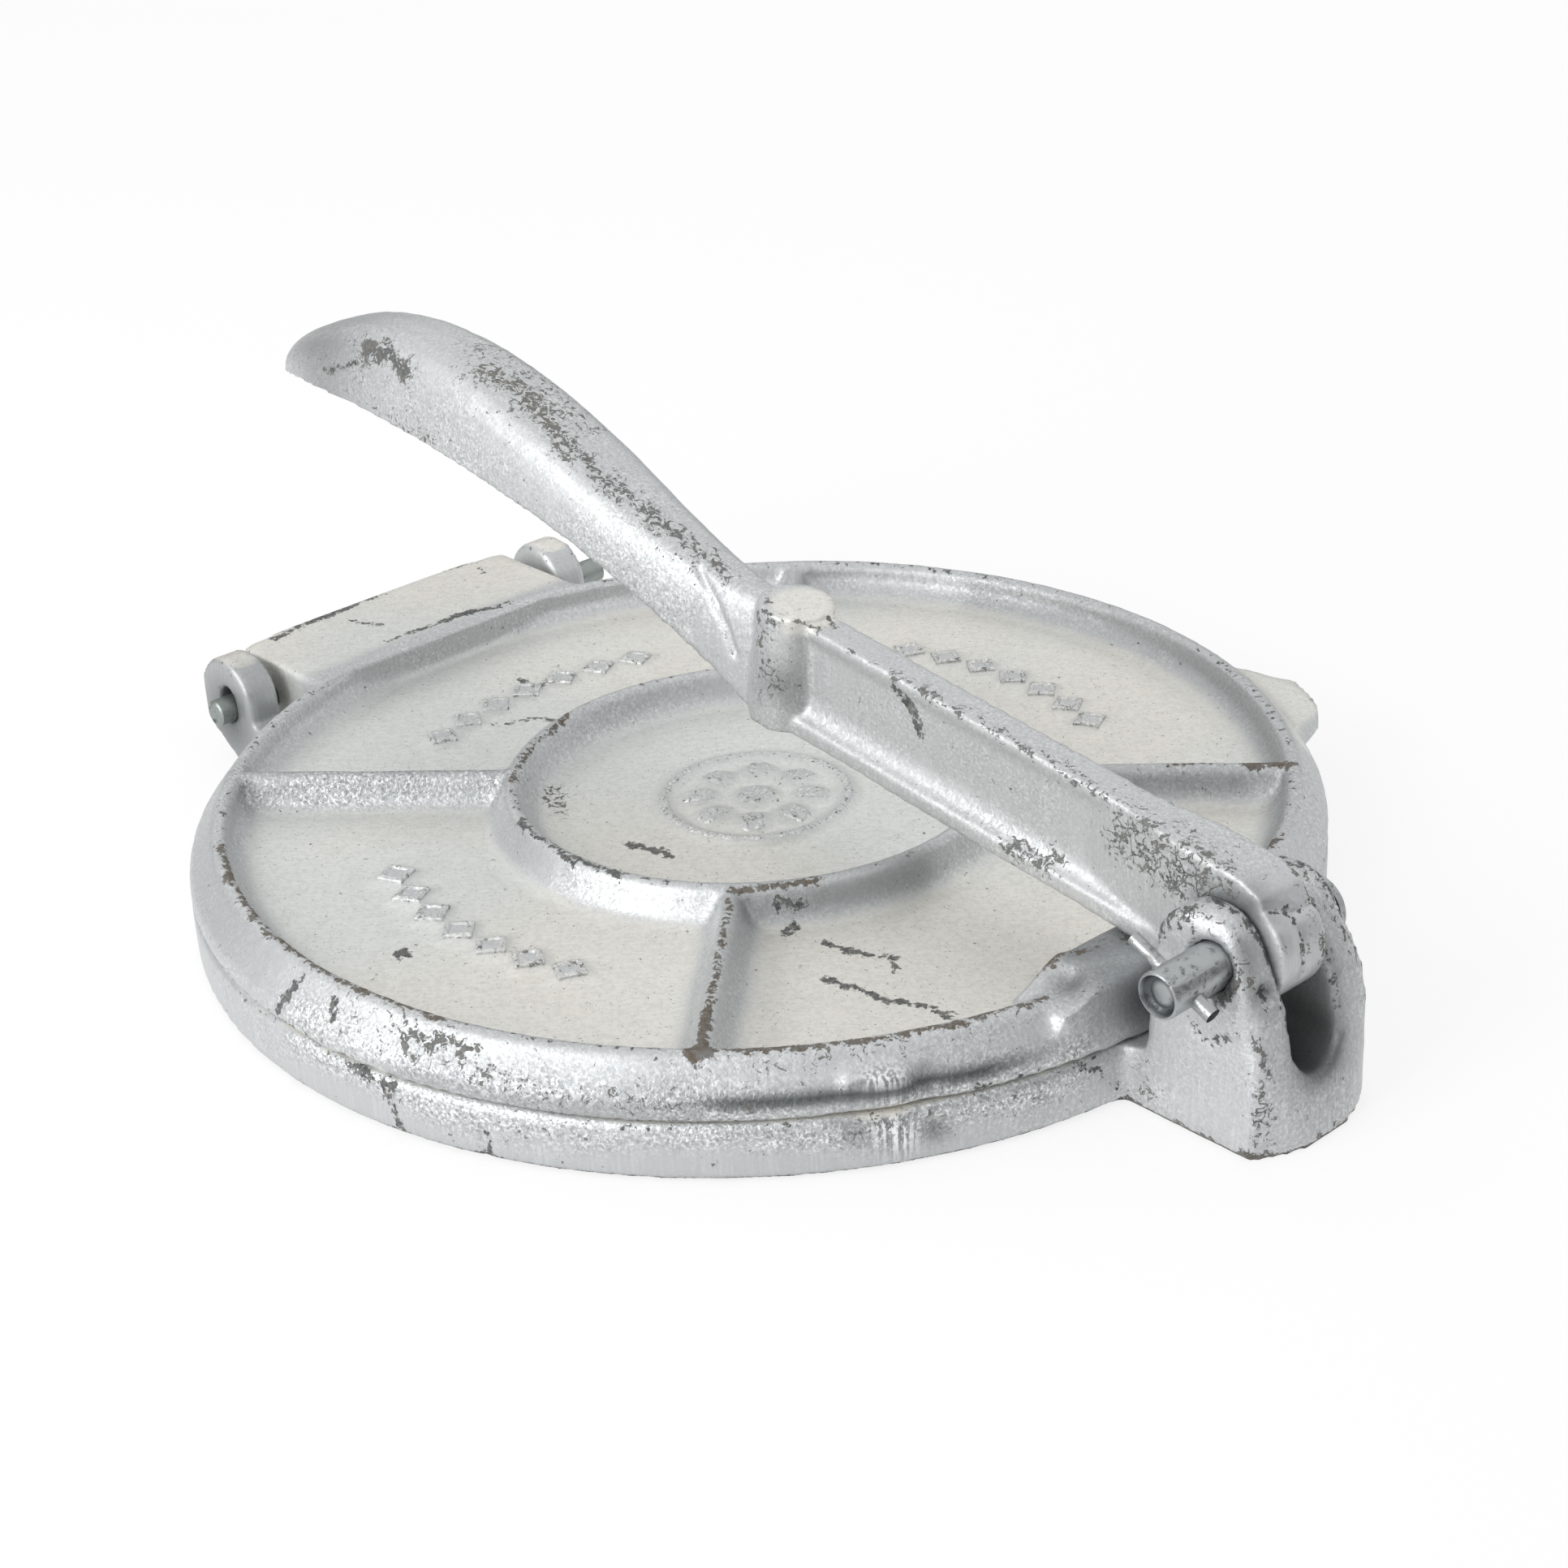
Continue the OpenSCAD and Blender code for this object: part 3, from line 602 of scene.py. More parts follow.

# %% Stains, painted shade and sparkling stretches
STAINS_AND_PAINTED_SHADE = {
    # casting: {name: (how dark, where over 1 spreads it, reach in mm, points in mm)}
    "lid": {
        # Lug wall and top: painted shade under the lever, over a real dark tarnish with brown
        # spots.
        "lug wall": (0.90, 5.5, [(97, -17, 19), (101.5, -8, 18), (102.5, 0, 18)]),
        "lug top": (0.62, 6.0, [(93, -14, 22.5), (98, 0, 24)]),
        # The lever's painted shadow on the ring's outer wall, with some real tarnish in it.
        "ring outside": (0.42, 4.0, [(34, -34, 16.5), (43, -20, 16.5), (47, -5, 16.5)]),
        # The next five are painted shade: the ribs' sides, the skirt facing the front lamp and
        # the rim's inner wall on the right are darkened for how the light falls on them.
        "near rib": (0.22, 4.0, [(38, -31, 17), (70, -61, 17)]),
        "left rib": (0.38, 5.0, [(-35, -34, 17), (-69, -65, 17)]),
        "skirt front": (0.34, 5.0, [(30, -99.4, 16), (56, -87.6, 15), (68, -78.5, 14.6)]),
        "right rib": (0.45, 3.4, [(36, 31, 17), (66, 58, 17)]),
        "rim inside": (0.32, 3.6, [
            (95 * math.cos(a), 95 * math.sin(a), 17.0) for a in np.linspace(0.5, 1.9, 15)]),
        # Painted shade in the dents either side of the lid's gate.
        "gate left": (1.30, 2.5, [(88, -58.8, 15.2)]),
        "gate right": (1.25, 2.5, [(93.4, -47.8, 14.8)]),
    },
    "base": {
        "near ear": (0.80, 11.0, [(-111.5, -43.5, 10)]),
        # Painted shade deep in the slot, and round the pin's root where it enters the ear.
        "slot": (1.60, 5.6, [(121, 0, 15), (131, 0, 15), (131, 0, 24)]),
        "round the pin": (0.85, 1.6, [
            (PIN_X + 4.6 * math.cos(a), -12.7, PIN_Z + 4.6 * math.sin(a))
            for a in np.linspace(-2.2, 1.4, 9)]),
        "pit": (0.85, 2.0, [(125.9, -8.8, 27.3)]),
        "ear top": (0.50, 2.2, [(124.6, -11.6, 31.9), (122.9, -10.4, 35)]),
        # Painted shade in the dents either side of the base's gate.
        "low gate left": (1.1, 2.2, [(88, -58.8, 7.8)]),
        "low gate right": (1.1, 2.2, [(94, -47, 5.9)]),
    },
    "lever": {
        "grip tip side": (0.42, 14.0, [(-112, -8, 76)]),
        "grip tip": (0.40, 9.0, [(-114, -6, 74)]),
        "boss foot": (0.55, 5.0, [(16, -7.5, 44)]),
        "eye shade": (0.60, 3.5, [(112, -5, 36), (120, -5.2, 39)]),
    },
}
# Grit sets the grain's bump, and also how strongly its painted glints and painted grain shade
# show.
SPARKLE = {
    # casting: {name: (how gritty, reach in mm, points in mm)}
    "lid": {
        "left rib": (1.0, 7.0, [(-35, -34, 17), (-69, -65, 17)]),
        "ring near": (0.5, 6.0, [(0, -48, 17), (30, -37, 17)]),
        "lid skirt": (1.0, 4.5, [(2, -104, 15), (30, -99.6, 15), (56, -87.6, 14),
            (78, -68.8, 12.6), (94.5, -43.4, 12), (101, -24, 12)]),
    },
    "base": {
        "base skirt": (1.1, 3.6, [(2, -104, 9), (30, -99.6, 8), (56, -87.6, 8), (78, -68.8, 8),
            (94.5, -43.4, 8), (101, -24, 8)]),
    },
    "lever": {
        "grip side": (0.6, 14.0, [(-90, -11, 76), (-10, -8, 52)]),
        "web": (0.4, 10.0, [(60, -3, 42), (110, -5, 38)]),
    },
}
print("stains:", {key: len(lines) for key, lines in STAINS_AND_PAINTED_SHADE.items()})


# %% Numbers for each vertex
NO_MARK = -4.0  # a mark's number is how deep in mm a vertex lies inside it
LEAST_WEAR, LEAST_GRIT = 0.06, 0.32
CREST_CALMED = 0.38


def wandered(points):
    """points, moved up to about a millimetre by sine waves of 3 to 9 mm."""
    moved = points.copy()
    for axis, (length, size) in enumerate(((3.1, 0.5), (4.3, 0.55), (8.7, 0.6))):
        wave = points @ np.array((0.61, 0.53, 0.59)) + 1.7 * np.sin(points[:, axis] / 2.3)
        moved[:, axis] += size * np.sin(2 * math.pi * wave / length + axis)
        moved[:, (axis + 1) % 3] += size * np.cos(2 * math.pi * wave / length)
    return moved


def store(piece, name, values):
    """Keeps one number per vertex under a name that a material can read."""
    attribute = piece.data.attributes.new(name, "FLOAT", "POINT")
    attribute.data.foreach_set("value", np.ascontiguousarray(values, np.float32))


def describe(piece, key, panel, calm, crest_steps, stain_and_painted_shade=0.0, mark=NO_MARK):
    """Stores what the material reads from a piece's vertices.

    panel is 1 on rubbed faces and calm is 1 where no grit may be. crest_steps is how
    many rings of neighbours an edge is measured against. stain_and_painted_shade and mark
    are what the piece starts from; the first darkens the colour, as real stain in some
    places and as painted shade in others.
    """
    points, normals = places(piece), directions(piece)
    loose = wandered(points)
    bulge = ((points - blurred(piece, points, crest_steps)) * normals).sum(axis=1)
    bulge = blurred(piece, bulge, 3)
    brown = np.zeros(len(points))
    stain_and_painted_shade, mark = brown + stain_and_painted_shade, brown + mark
    for half, is_brown, line in MARKS[key].values():
        depth = half - distance_to(0.5 * (points + loose), line)
        mark = np.maximum(mark, depth)
        brown = np.where(depth > -1.0, np.maximum(brown, is_brown), brown)
    wear = np.full(len(points), LEAST_WEAR)
    for most, reach, is_brown, line in WORN[key].values():
        here = most * near(loose, reach, line)
        wear = np.maximum(wear, here)
        brown = np.maximum(brown, is_brown * here)
    for most, reach, line in STAINS_AND_PAINTED_SHADE[key].values():
        stain_and_painted_shade = np.maximum(stain_and_painted_shade, most * near(points, reach, line))
    grit = np.full(len(points), LEAST_GRIT)
    for most, reach, line in SPARKLE[key].values():
        grit = np.maximum(grit, most * near(points, reach, line))
    for name, values in (("panel", panel), ("grit", grit * (1 - calm)),
                         ("crest", bulge * (1 - CREST_CALMED * calm)),
                         ("mark", mark), ("wear", wear), ("brown", brown),
                         ("stain_and_painted_shade", np.minimum(stain_and_painted_shade, 1.0))):
        store(piece, name, values)
    print(piece.name, "crest at the sharpest percent:", round(float(np.percentile(bulge, 99)), 2))


# %% The lid's numbers, with a painted shade line under the overhang of its skirt
points = places(lid)
radius, around = polar(points)
# A band of painted shade under the skirt's overhang, stored with the stains.
band = (radius > 101) * np.exp(-((points[:, 2] - 14.2) / 1.25) ** 2)
band *= np.clip((around + 52) / 8, 0, 1) * np.clip((-16 - around) / 6, 0, 1)
describe(lid, "lid", lid_panel, lid_panel, 8, stain_and_painted_shade=band)

# %% The base's numbers, with a dark broken line at its bottom edge: chipping, and painted contact shade
points = places(base)
radius, around = polar(points)
# The bottom 1.25 mm of the skirt gets a jagged dark line: chipping, and painted contact shade
# where the base meets the paper.
bottom_edge = (radius > 102) * (1.25 - points[:, 2])
describe(base, "base", base_panel, np.maximum(base_panel, base_smooth), 8,
         mark=np.where(bottom_edge > 0, bottom_edge, NO_MARK))

# %% The lever's numbers
points = places(lever)
nose = np.clip((points[:, 0] - PIN_X) / 3, 0, 1) * (np.abs(points[:, 1]) < 5)
describe(lever, "lever", blurred(lever, lever_panel, 2), np.maximum(lever_panel, nose), 14)

# %% [markdown]
# Two things get a number of their own. Rays run down from the gates, where the metal
# was broken off and filed: the number darkens the stub round them as painted shade, and
# the rays are drawn in white as painted glints. A net of hair cracks runs over the lever
# near the pin, where the thick eye cooled last and the skin shrank.

# %% Gates and the net of hair cracks
# gate marks where the stub is darkened as painted shade and its filed rays are drawn as painted
# glints.
for piece, name, reach, line in (
        (lid, "gate", 3.4, [(89.5, -55, 16.8), (90.8, -52, 13.5)]),
        (base, "gate", 3.4, [(90.2, -54, 8.6), (91, -52.4, 6)]),
        (lever, "net", 8.0, [(93, -3.6, 40), (100, -4.6, 39.5), (108, -5.2, 39)])):
    store(piece, name, near(places(piece), reach, line))

# %% [markdown]
# ## Sand-cast aluminium
#
# Fresh from the sand, aluminium has a pale grey oxide skin over bright metal. Its grain
# is drawn in the colour: painted glints at one end of a noise and painted shade at the
# other, standing in for grains that face the light and grains that turn away from it.
# A plain metallic shader would be a mirror, so the roughness is high and the metallic
# value a little under 1, as oxide scatters some light. The sand's grains were about
# 0.2 mm, too fine to show, so they are drawn at 0.6 mm. Sizes of noise are written as
# 1 over millimetres, since the coordinates are scaled to millimetres first.
#
# The panels were rubbed flat: fine marks run across the whole press in one direction,
# and gas left pinholes. They are a little warmer than the walls.

# %% Grain, pinholes and brush marks
TO_MM = (1000, 1000, 1000)
BRUSHED = -math.radians(48.7)

aluminium, tree = new_material("sand-cast aluminium")
mm = node(tree, "Mapping", Vector=node(tree, "TexCoord", out="Object"), Scale=TO_MM)
panel, grit, gate, stain_and_painted_shade, crest, wear, mark, net, brown = (
    node(tree, "Attribute", {"attribute_name": name}, out="Fac")
    for name in ("panel", "grit", "gate", "stain_and_painted_shade", "crest", "wear", "mark", "net", "brown"))

grain = node(tree, "TexNoise", Vector=mm, Scale=1 / 0.6, Detail=2.0, Roughness=0.55,
             Distortion=0.6)
patch = node(tree, "TexNoise", Vector=mm, Scale=1 / 16, Detail=1.0)
patch = node(tree, "MapRange", _0=patch, _1=0.38, _2=0.62, _3=0.45, _4=1.0)
skin = node(tree, "Math", TIMES, _0=grit, _1=patch)
painted_glint = node(tree, "MapRange", _0=grain, _1=0.53, _2=0.64)
painted_glint = node(tree, "Math", TIMES, _0=painted_glint, _1=skin)
# pit is the dark end of the same noise: painted shade on grains turned away from the light.
pit = node(tree, "MapRange", _0=grain, _1=0.46, _2=0.34)
pit = node(tree, "Math", TIMES, _0=pit, _1=skin)

turned = node(tree, "Mapping", Vector=mm, Rotation=(0, 0, BRUSHED))
across = node(tree, "Mapping", Vector=turned, Scale=(1 / 5, 1 / 0.4, 1 / 0.4))
brush = node(tree, "TexNoise", Vector=across, Scale=1.0, Detail=2.0, Roughness=0.55)
pinhole = node(tree, "TexNoise", Vector=mm, Scale=1 / 0.55, Detail=1.0)
pinhole = node(tree, "MapRange", _0=pinhole, _1=0.71, _2=0.77)
pinhole = node(tree, "Math", TIMES, _0=pinhole, _1=panel)

# %% Clean metal
upright = node(tree, "Mapping", Vector=mm, Scale=(1 / 0.6, 1 / 0.6, 1 / 14))
drag = node(tree, "TexNoise", Vector=upright, Scale=1.0, Detail=2.0)
# Filed streaks down the gate, drawn in white as painted glints.
ray = node(tree, "MapRange", _0=drag, _1=0.44, _2=0.54)
ray = node(tree, "Math", TIMES, _0=ray, _1=gate)
drag = node(tree, "MapRange", _0=drag, _1=0.48, _2=0.66, _4=0.25)
wall = node(tree, "Mix", RGBA, out=2, _0=drag, _6=paint("#c3c5c6"), _7=paint("#dcdee0"))
# Over the wall: the gate's painted shade, the rays' white painted glints, then the grain's
# painted glints and painted shade.
for share, hexa in ((gate, "#8f9395"), (ray, "#ffffff"), (painted_glint, "#fbfcfc"), (pit, "#96999c")):
    wall = node(tree, "Mix", RGBA, out=2, _0=share, _6=wall, _7=paint(hexa))

patchy = node(tree, "TexNoise", Vector=mm, Scale=1 / 60, Detail=1.0)
patchy = node(tree, "MapRange", _0=patchy, _1=0.40, _2=0.60)
streak = node(tree, "MapRange", _0=brush, _1=0.36, _2=0.64, _4=0.4)
mottle = node(tree, "TexNoise", Vector=mm, Scale=1 / 0.9, Detail=3.0, Roughness=0.65)
mottle = node(tree, "MapRange", _0=mottle, _1=0.56, _2=0.40, _4=0.32)
flat = node(tree, "Mix", RGBA, out=2, _0=patchy, _6=paint("#dadddb"), _7=paint("#e2dfd8"))
for share, hexa in ((streak, "#eeefec"), (mottle, "#c2c2bd"), (pinhole, "#9a9994")):
    flat = node(tree, "Mix", RGBA, out=2, _0=share, _6=flat, _7=paint(hexa))
clean = node(tree, "Mix", RGBA, out=2, _0=panel, _6=wall, _7=flat)
# One dark grey serves real stains and painted shade alike: under the lever, in recesses, beside
# the gates and on walls turned from the lamps.
clean = node(tree, "Mix", RGBA, out=2, _0=stain_and_painted_shade, _6=clean, _7=paint("#5d6162"))

# %% [markdown]
# ## Dirt and wear
#
# Knocked edges show as thin, broken dark lines, handled stretches as a peppering of
# dark skin, and cracks as jagged lines. All three come from a mask on the vertices
# whose edge is eaten away by a fine noise, because the mesh itself is too coarse for
# such detail. Hair cracks are the borders between bent Voronoi cells.

# %% Dark lines, peppering and cracks
broken = node(tree, "TexNoise", Vector=mm, Scale=1 / 1.7, Detail=5.0, Roughness=0.7)
sharp_edge = node(tree, "MapRange", _0=crest, _1=0.42, _2=0.62)
sharp_edge = node(tree, "Math", TIMES, _0=sharp_edge, _1=0.19)
edge_line = node(tree, "Math", PLUS, _0=broken, _1=sharp_edge)
edge_line = node(tree, "MapRange", _0=edge_line, _1=0.665, _2=0.70)

curl = node(tree, "TexNoise", Vector=mm, Scale=1 / 1.5, Detail=4.0, Roughness=0.7, Distortion=1.2)
pepper = node(tree, "Math", TIMES_PLUS, _0=wear, _1=0.30, _2=curl)
pepper = node(tree, "MapRange", _0=pepper, _1=0.70, _2=0.735)

gnaw = node(tree, "TexNoise", Vector=mm, Scale=1 / 1.1, Detail=4.0, Roughness=0.7)
gnaw = node(tree, "MapRange", _0=gnaw, _1=0.32, _2=0.68, _3=-1.05, _4=0.6)
gnawed = node(tree, "Math", PLUS, _0=mark, _1=gnaw)
crack = node(tree, "MapRange", _0=gnawed, _1=0.0, _2=0.25)

bent = node(tree, "TexNoise", Vector=mm, Scale=1 / 2.2, Detail=4.0, out="Color")
bent = node(tree, "VectorMath", {"operation": "SCALE"}, _0=bent, Scale=5.0)
bent = node(tree, "VectorMath", PLUS, _0=mm, _1=bent)
cells = node(tree, "TexVoronoi", {"feature": "DISTANCE_TO_EDGE"}, Vector=bent, Scale=1 / 2.7)
hair = node(tree, "MapRange", _0=cells, _1=0.085, _2=0.035)
netted = node(tree, "Math", PLUS, _0=net, _1=node(tree, "Math", TIMES, _0=broken, _1=1.6))
hair = node(tree, "Math", TIMES, _0=hair, _1=node(tree, "MapRange", _0=netted, _1=1.50, _2=1.62))

# %% Their colour
dirt = node(tree, "Mix", RGBA, out=2, _0=brown, _6=paint("#474b4d"), _7=paint("#655848"))
lighter = node(tree, "MapRange", _0=curl, _1=0.40, _2=0.62)
dirt = node(tree, "Mix", RGBA, out=2, _0=lighter, _6=dirt, _7=paint("#7c7b77"))
dark = edge_line
for other in (pepper, crack, hair):
    dark = node(tree, "Math", MOST, _0=dark, _1=other)
soft_dark = node(tree, "Math", TIMES, _0=dark, _1=0.92)
tint = node(tree, "Mix", RGBA, out=2, _0=soft_dark, _6=clean, _7=dirt)

# %% [markdown]
# The bump's height is counted in millimetres: sand grain on the walls, far less on the
# panels, brush marks only there, and a step down where skin has broken away.

# %% Relief, gloss and the shader
relief = node(tree, "Math", TIMES_PLUS, _0=skin, _1=0.20, _2=0.015)
relief = node(tree, "Math", TIMES, _0=grain, _1=relief)
brushed = node(tree, "Math", TIMES, _0=brush, _1=panel)
relief = node(tree, "Math", TIMES_PLUS, _0=brushed, _1=0.02, _2=relief)
relief = node(tree, "Math", TIMES_PLUS, _0=dark, _1=-0.07, _2=relief)
bump = node(tree, "Bump", Height=relief, Strength=1.0, Distance=1.0 * MM)
gloss = node(tree, "MapRange", _0=grain, _1=0.35, _2=0.65, _3=0.58, _4=0.46)
gloss = node(tree, "Math", TIMES_PLUS, _0=dark, _1=0.22, _2=gloss)
metal = node(tree, "BsdfPrincipled", Base_Color=tint, Metallic=0.72, Roughness=gloss,
             Normal=bump)
node(tree, "OutputMaterial", Surface=metal)
for piece in (lid, base, lever):
    piece.data.materials.append(aluminium)

# %% The castings stand for their CAD nodes
for piece, body, cad_node in ((lid, "lid", "lid_plate"), (base, "base", "base_plate"),
                              (lever, "lever", "press_lever")):
    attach(piece, body)
    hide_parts(cad_node)

# %% [markdown]
# ## Raised ornament
#
# A foundry puts something raised on each panel. Here it is a plain rosette and rows of
# lozenges, cast with the lid. They are small and crisp, so the remesh above has
# blurred them, and they are modelled again: one lozenge from a four-sided disc whose
# top is inset, sunk and bevelled, then copied with its own mesh to each place.


# %% Shared steps for small pieces
def edit(obj, mode="FACE"):
    """Opens obj for editing, with nothing selected."""
    select_only(obj)
    bpy.ops.object.mode_set(mode="EDIT")
    bpy.ops.mesh.select_mode(type=mode)
    bpy.ops.mesh.select_all(action="DESELECT")


def pick_faces(obj, wanted):
    """In edit mode, selects the faces whose centre (in mm) and normal are wanted."""
    shape = bmesh.from_edit_mesh(obj.data)
    for face in shape.faces:
        face.select_set(bool(wanted(face.calc_center_median() / MM, face.normal)))
    bmesh.update_edit_mesh(obj.data)


def pick_edges(obj, wanted):
    """In edit mode, selects the edges whose middle (in mm) and direction are wanted."""
    shape = bmesh.from_edit_mesh(obj.data)
    for edge in shape.edges:
        a, b = (v.co / MM for v in edge.verts)
        edge.select_set(bool(wanted((a + b) / 2, (b - a).normalized())))
    bmesh.update_edit_mesh(obj.data)


def inset_and_move(rim, move):
    """In edit mode, insets what is selected by rim and then moves it, in mm."""
    bpy.ops.mesh.inset(thickness=rim * MM)
    bpy.ops.transform.translate(value=Vector(move) * MM)


def bake(obj):
    """Moves the object's place and turn into its mesh."""
    select_only(obj)
    bpy.ops.object.transform_apply(location=True, rotation=True, scale=True)


def settle(obj):
    """Leaves edit mode with everything in the mesh, and shades it smooth."""
    bpy.ops.object.mode_set(mode="OBJECT")
    bake(obj)
    bpy.ops.object.shade_smooth_by_angle(angle=math.radians(40))


def joined(name, parts):
    """Several objects made one, under a new name."""
    bpy.ops.object.select_all(action="DESELECT")
    for part in parts:
        part.select_set(True)
    bpy.context.view_layer.objects.active = parts[0]
    bpy.ops.object.join()
    parts[0].name = name
    return parts[0]


# %% One lozenge
LOZENGE_R = 3.7
RELIEF, TOP = 1.35, 1.45  # over the panel, and over the lozenge's own middle
lozenge = fresh(bpy.ops.mesh.primitive_cylinder_add, vertices=4, radius=LOZENGE_R * MM,
                depth=2.4 * MM)
edit(lozenge)
pick_faces(lozenge, lambda c, n: n.z > 0.9)
inset_and_move(0.85, (0, 0, 0.25))
inset_and_move(0.7, (0, 0, -0.75))
bpy.ops.mesh.select_all(action="SELECT")
bpy.ops.mesh.bevel(offset=0.22 * MM, segments=2, affect="EDGES")
bpy.ops.mesh.subdivide(number_cuts=1)
settle(lozenge)
print("lozenge:", len(lozenge.data.polygons), "faces")

# %% Rows of lozenges in three panels
ROW_R = 68.55
row = []
for quarter in (1, 2, 3):
    for step in range(-3, 4):
        angle = math.radians(90 * quarter + 7 * step)
        one = bpy.data.objects.new("lozenge", lozenge.data.copy())
        bpy.context.collection.objects.link(one)
        one.rotation_euler = (0, 0, angle)
        one.location = (ROW_R * MM * math.cos(angle), ROW_R * MM * math.sin(angle),
                        (LID_FLOOR + RELIEF - TOP) * MM)
        bake(one)
        row.append(one)
bpy.data.objects.remove(lozenge)
lozenges = joined("lozenge_rows", row)
print("lozenge rows:", len(lozenges.data.polygons), "faces")

# %% Rosette of a ring, eight petals and a round middle
ROSETTE_R = 17.05
PETAL, MIDDLE = (10.3, 3.9, 2.7), (0.0, 4.0, 4.0)  # how far out, half length and width
ring = fresh(bpy.ops.mesh.primitive_torus_add, major_segments=96, minor_segments=12,
             major_radius=ROSETTE_R * MM, minor_radius=1.25 * MM,
             location=(0, 0, LID_FLOOR * MM))
edit(ring, "VERT")
bpy.ops.mesh.select_all(action="SELECT")
bpy.ops.transform.resize(value=(1, 1, 0.85))
settle(ring)
parts = [ring]
for step in range(9):
    angle = math.radians(45 * step)
    away, length, width = PETAL if step < 8 else MIDDLE
    petal = fresh(bpy.ops.mesh.primitive_uv_sphere_add, segments=24, ring_count=12,
                  radius=1.0 * MM)
    edit(petal)
    bpy.ops.mesh.select_all(action="SELECT")
    bpy.ops.transform.resize(value=(length, width, 1.35))
    pick_faces(petal, lambda c, n: abs(c.y) < 0.5 and c.z > 0.4
               or abs(c.x) < 0.7 and abs(c.y) < 0.7)
    bpy.ops.transform.translate(value=(0, 0, -0.45 * MM))
    bpy.ops.object.mode_set(mode="OBJECT")
    petal.rotation_euler = (0, 0, angle)
    petal.location = (away * MM * math.cos(angle), away * MM * math.sin(angle),
                      (LID_FLOOR + 0.1) * MM)
    settle(petal)
    parts.append(petal)
rosette = joined("rosette", parts)
print("rosette:", len(rosette.data.polygons), "faces")

# %% Finish the ornament
for piece in (lozenges, rosette):
    apply_modifier(piece, "SUBSURF", levels=1, render_levels=1)
    clouds = bpy.data.textures.new(piece.name + "_grain", "CLOUDS")
    clouds.noise_scale = 1.6 * MM
    apply_modifier(piece, "DISPLACE", texture=clouds, texture_coords="LOCAL",
                   strength=0.35 * MM, mid_level=0.5)
    for name, value in (("panel", 0.35), ("grit", 0.9), ("wear", 0.40), ("mark", NO_MARK)):
        store(piece, name, np.full(len(piece.data.vertices), value))
    piece.data.materials.clear()
    piece.data.materials.append(aluminium)
    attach(piece, "lid")
    print(piece.name, len(piece.data.polygons), "faces")

# %% [markdown]
# ## Steel pins
#
# The lever turns on a pin with a cupped end, cut off on a lathe, and a bent wire keeps
# it from sliding out. Both could be left as plain cylinders, but their ends are what
# shows. The pin starts as a cylinder: its near end is inset and pushed in for the
# cup, its far end drawn out into a head. The wire is a disc drawn out along a line
# and then spun round a bend. The hinge rod is a bar with its two ends sawn off.


# %% Cupped pin
def round_bar(sides, radius, x, z, near_end, far_end):
    """A cylinder that lies along Y, all in mm."""
    bar = fresh(bpy.ops.mesh.primitive_cylinder_add, vertices=sides, radius=radius * MM,
                depth=(far_end - near_end) * MM, rotation=(math.pi / 2, 0, 0),
                location=(x * MM, (near_end + far_end) / 2 * MM, z * MM))
    bake(bar)
    return bar


PIN_R = 3.95
NEAR_END, HEAD_FACE, HEAD_THICK = -24.1, 13.05, 1.3
pin = round_bar(64, PIN_R, PIN_X, PIN_Z, NEAR_END, HEAD_FACE)
edit(pin)
pick_faces(pin, lambda c, n: n.y < -0.9)
for rim, sink in ((0.35, 0.0), (0.35, 0.7), (0.5, 0.6), (0.5, 0.1), (0.8, -0.2)):
    inset_and_move(rim, (0, sink, 0))
bpy.ops.mesh.select_all(action="DESELECT")
pick_faces(pin, lambda c, n: n.y > 0.9)
bpy.ops.mesh.extrude_region_move()
bpy.ops.transform.resize(value=(1.40, 1, 1.40))
bpy.ops.mesh.extrude_region_move(TRANSFORM_OT_translate={"value": (0, HEAD_THICK * MM, 0)})
inset_and_move(0.6, (0, 0.4, 0))
bpy.ops.mesh.select_all(action="DESELECT")
pick_edges(pin, lambda c, d: c.y < NEAR_END + 0.01 and abs(d.y) < 0.1
           and math.hypot(c.x - PIN_X, c.z - PIN_Z) > PIN_R - 0.05)
bpy.ops.mesh.bevel(offset=0.45 * MM, segments=3, affect="EDGES")
settle(pin)
pin.name = "lever_pin"
points = places(pin)
away = np.hypot(points[:, 0] - PIN_X, points[:, 2] - PIN_Z)
# The cup's walls are darkened: painted shade inside the pin's hollow end.
store(pin, "stain_and_painted_shade", (points[:, 1] < NEAR_END + 3) * (away > 1.8) * (away < 3.4) * 0.9)
print("pin:", len(pin.data.polygons), "faces")

# %% Bent wire
WIRE_R, WIRE_Y = 1.15, -18.8
WIRE_TURN, BEND = math.radians(25), math.radians(42)
along = Vector((math.cos(WIRE_TURN), 0, -math.sin(WIRE_TURN)))
start = Vector((PIN_X, WIRE_Y, PIN_Z)) - 10.4 * along
wire = fresh(bpy.ops.mesh.primitive_circle_add, vertices=24, radius=WIRE_R * MM,
             fill_type="NGON", rotation=(0, math.pi / 2 + WIRE_TURN, 0), location=start * MM)
bake(wire)
edit(wire)
bpy.ops.mesh.select_all(action="SELECT")
for step, swell in ((9.0, 1.0), (3.4, 1.18), (5.2, 1.0)):
    bpy.ops.mesh.extrude_region_move(TRANSFORM_OT_translate={"value": along * step * MM})
    bpy.ops.transform.resize(value=(swell, swell, swell))
turn_about = start + 17.6 * along + Vector((0, 3.2, 0))
bpy.ops.mesh.spin(steps=8, angle=BEND, center=turn_about * MM,
                  axis=along.cross(Vector((0, 1, 0))))
lean = along * math.cos(BEND) + Vector((0, math.sin(BEND), 0))
inset_and_move(0.4, 0.4 * lean)
bpy.ops.mesh.select_all(action="SELECT")
bpy.ops.mesh.remove_doubles(threshold=0.001 * MM)
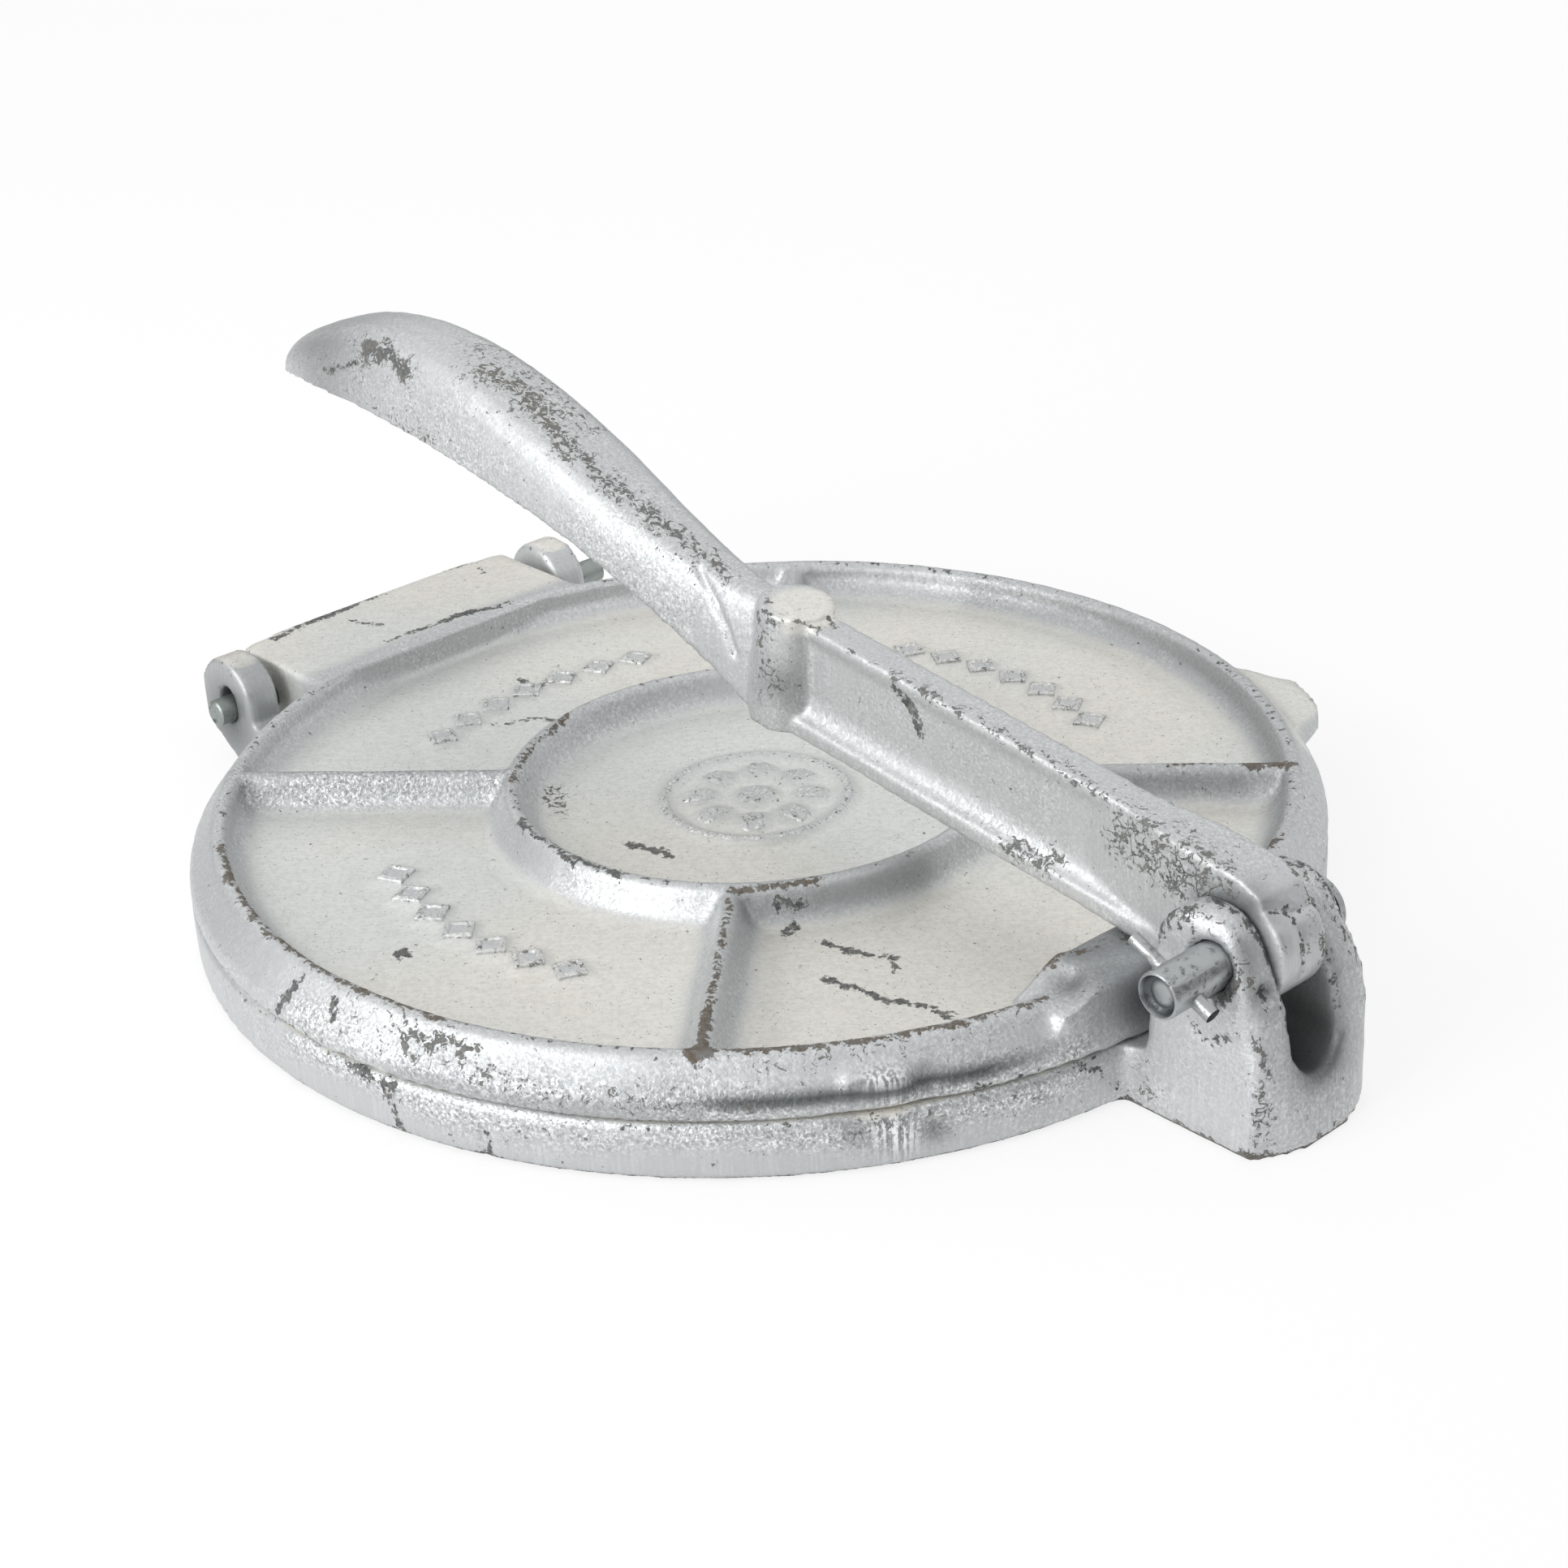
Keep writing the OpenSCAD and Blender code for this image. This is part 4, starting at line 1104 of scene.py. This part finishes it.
bpy.ops.mesh.normals_make_consistent(inside=False)
settle(wire)
wire.name = "keeper_wire"
print("wire:", len(wire.data.polygons), "faces")

# %% Hinge rod
rod = round_bar(48, 2.7, ROD_X, ROD_Z, -46.2, 52.7)
edit(rod)
for side in (-1, 1):
    bpy.ops.mesh.select_all(action="DESELECT")
    pick_faces(rod, lambda c, n: n.y * side > 0.9)
    inset_and_move(0.45, (0, side * 0.3, 0))
    inset_and_move(1.0, (0.1, -side * 0.25, 0.1))
settle(rod)
rod.name = "hinge_rod_turned"
print("rod:", len(rod.data.polygons), "faces")

# %% [markdown]
# ## Drawn steel
#
# Pin, rod and wire are drawn steel: pulled through a die, so fine scratches run along
# them. The pin and the rod have dulled, and the inside of the pin's cup is darkened as
# painted shade; the wire is zinc plated and brighter. A darker, greener grey for the rod
# tells them apart.


# %% Steel
for name, piece, clean_hex, stain_hex, rough_from, rough_to in (
        ("dulled drawn steel", pin, "#acafb0", "#6c6f70", 0.32, 0.48),
        ("weathered drawn steel", rod, "#9aa09d", "#565c59", 0.36, 0.52),
        ("zinc plated wire", wire, "#a9acad", "#7f7d78", 0.30, 0.42)):
    steel, tree = new_material(name)
    mm = node(tree, "Mapping", Vector=node(tree, "TexCoord", out="Object"), Scale=TO_MM)
    drawn = node(tree, "Mapping", Vector=mm, Scale=(1 / 0.5, 1 / 6, 1 / 0.5))
    scratch = node(tree, "TexNoise", Vector=drawn, Scale=1.0, Detail=3.0)
    spots = node(tree, "TexNoise", Vector=mm, Scale=1 / 1.8, Detail=5.0, Roughness=0.7)
    stained = node(tree, "MapRange", _0=spots, _1=0.55, _2=0.68)
    colour = node(tree, "Mix", RGBA, out=2, _0=stained, _6=paint(clean_hex), _7=paint(stain_hex))
    # The darkening stored on the pin's cup, a painted shade in its hollow end.
    hollow = node(tree, "Attribute", {"attribute_name": "stain_and_painted_shade"}, out="Fac")
    colour = node(tree, "Mix", RGBA, out=2, _0=hollow, _6=colour, _7=paint("#4c5052"))
    rough = node(tree, "MapRange", _0=spots, _1=0.4, _2=0.6, _3=rough_from, _4=rough_to)
    scratch = node(tree, "Math", TIMES, _0=scratch, _1=0.05)
    height = node(tree, "Math", TIMES_PLUS, _0=stained, _1=-0.05, _2=scratch)
    bump = node(tree, "Bump", Height=height, Strength=1.0, Distance=1.0 * MM)
    metal = node(tree, "BsdfPrincipled", Base_Color=colour, Metallic=0.92, Roughness=rough,
                 Normal=bump)
    node(tree, "OutputMaterial", Surface=metal)
    piece.data.materials.clear()
    piece.data.materials.append(steel)

for piece, cad_node in ((pin, "clevis_pin"), (rod, "hinge_rod"), (wire, "cotter_pin")):
    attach(piece, "base")
    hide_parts(cad_node)
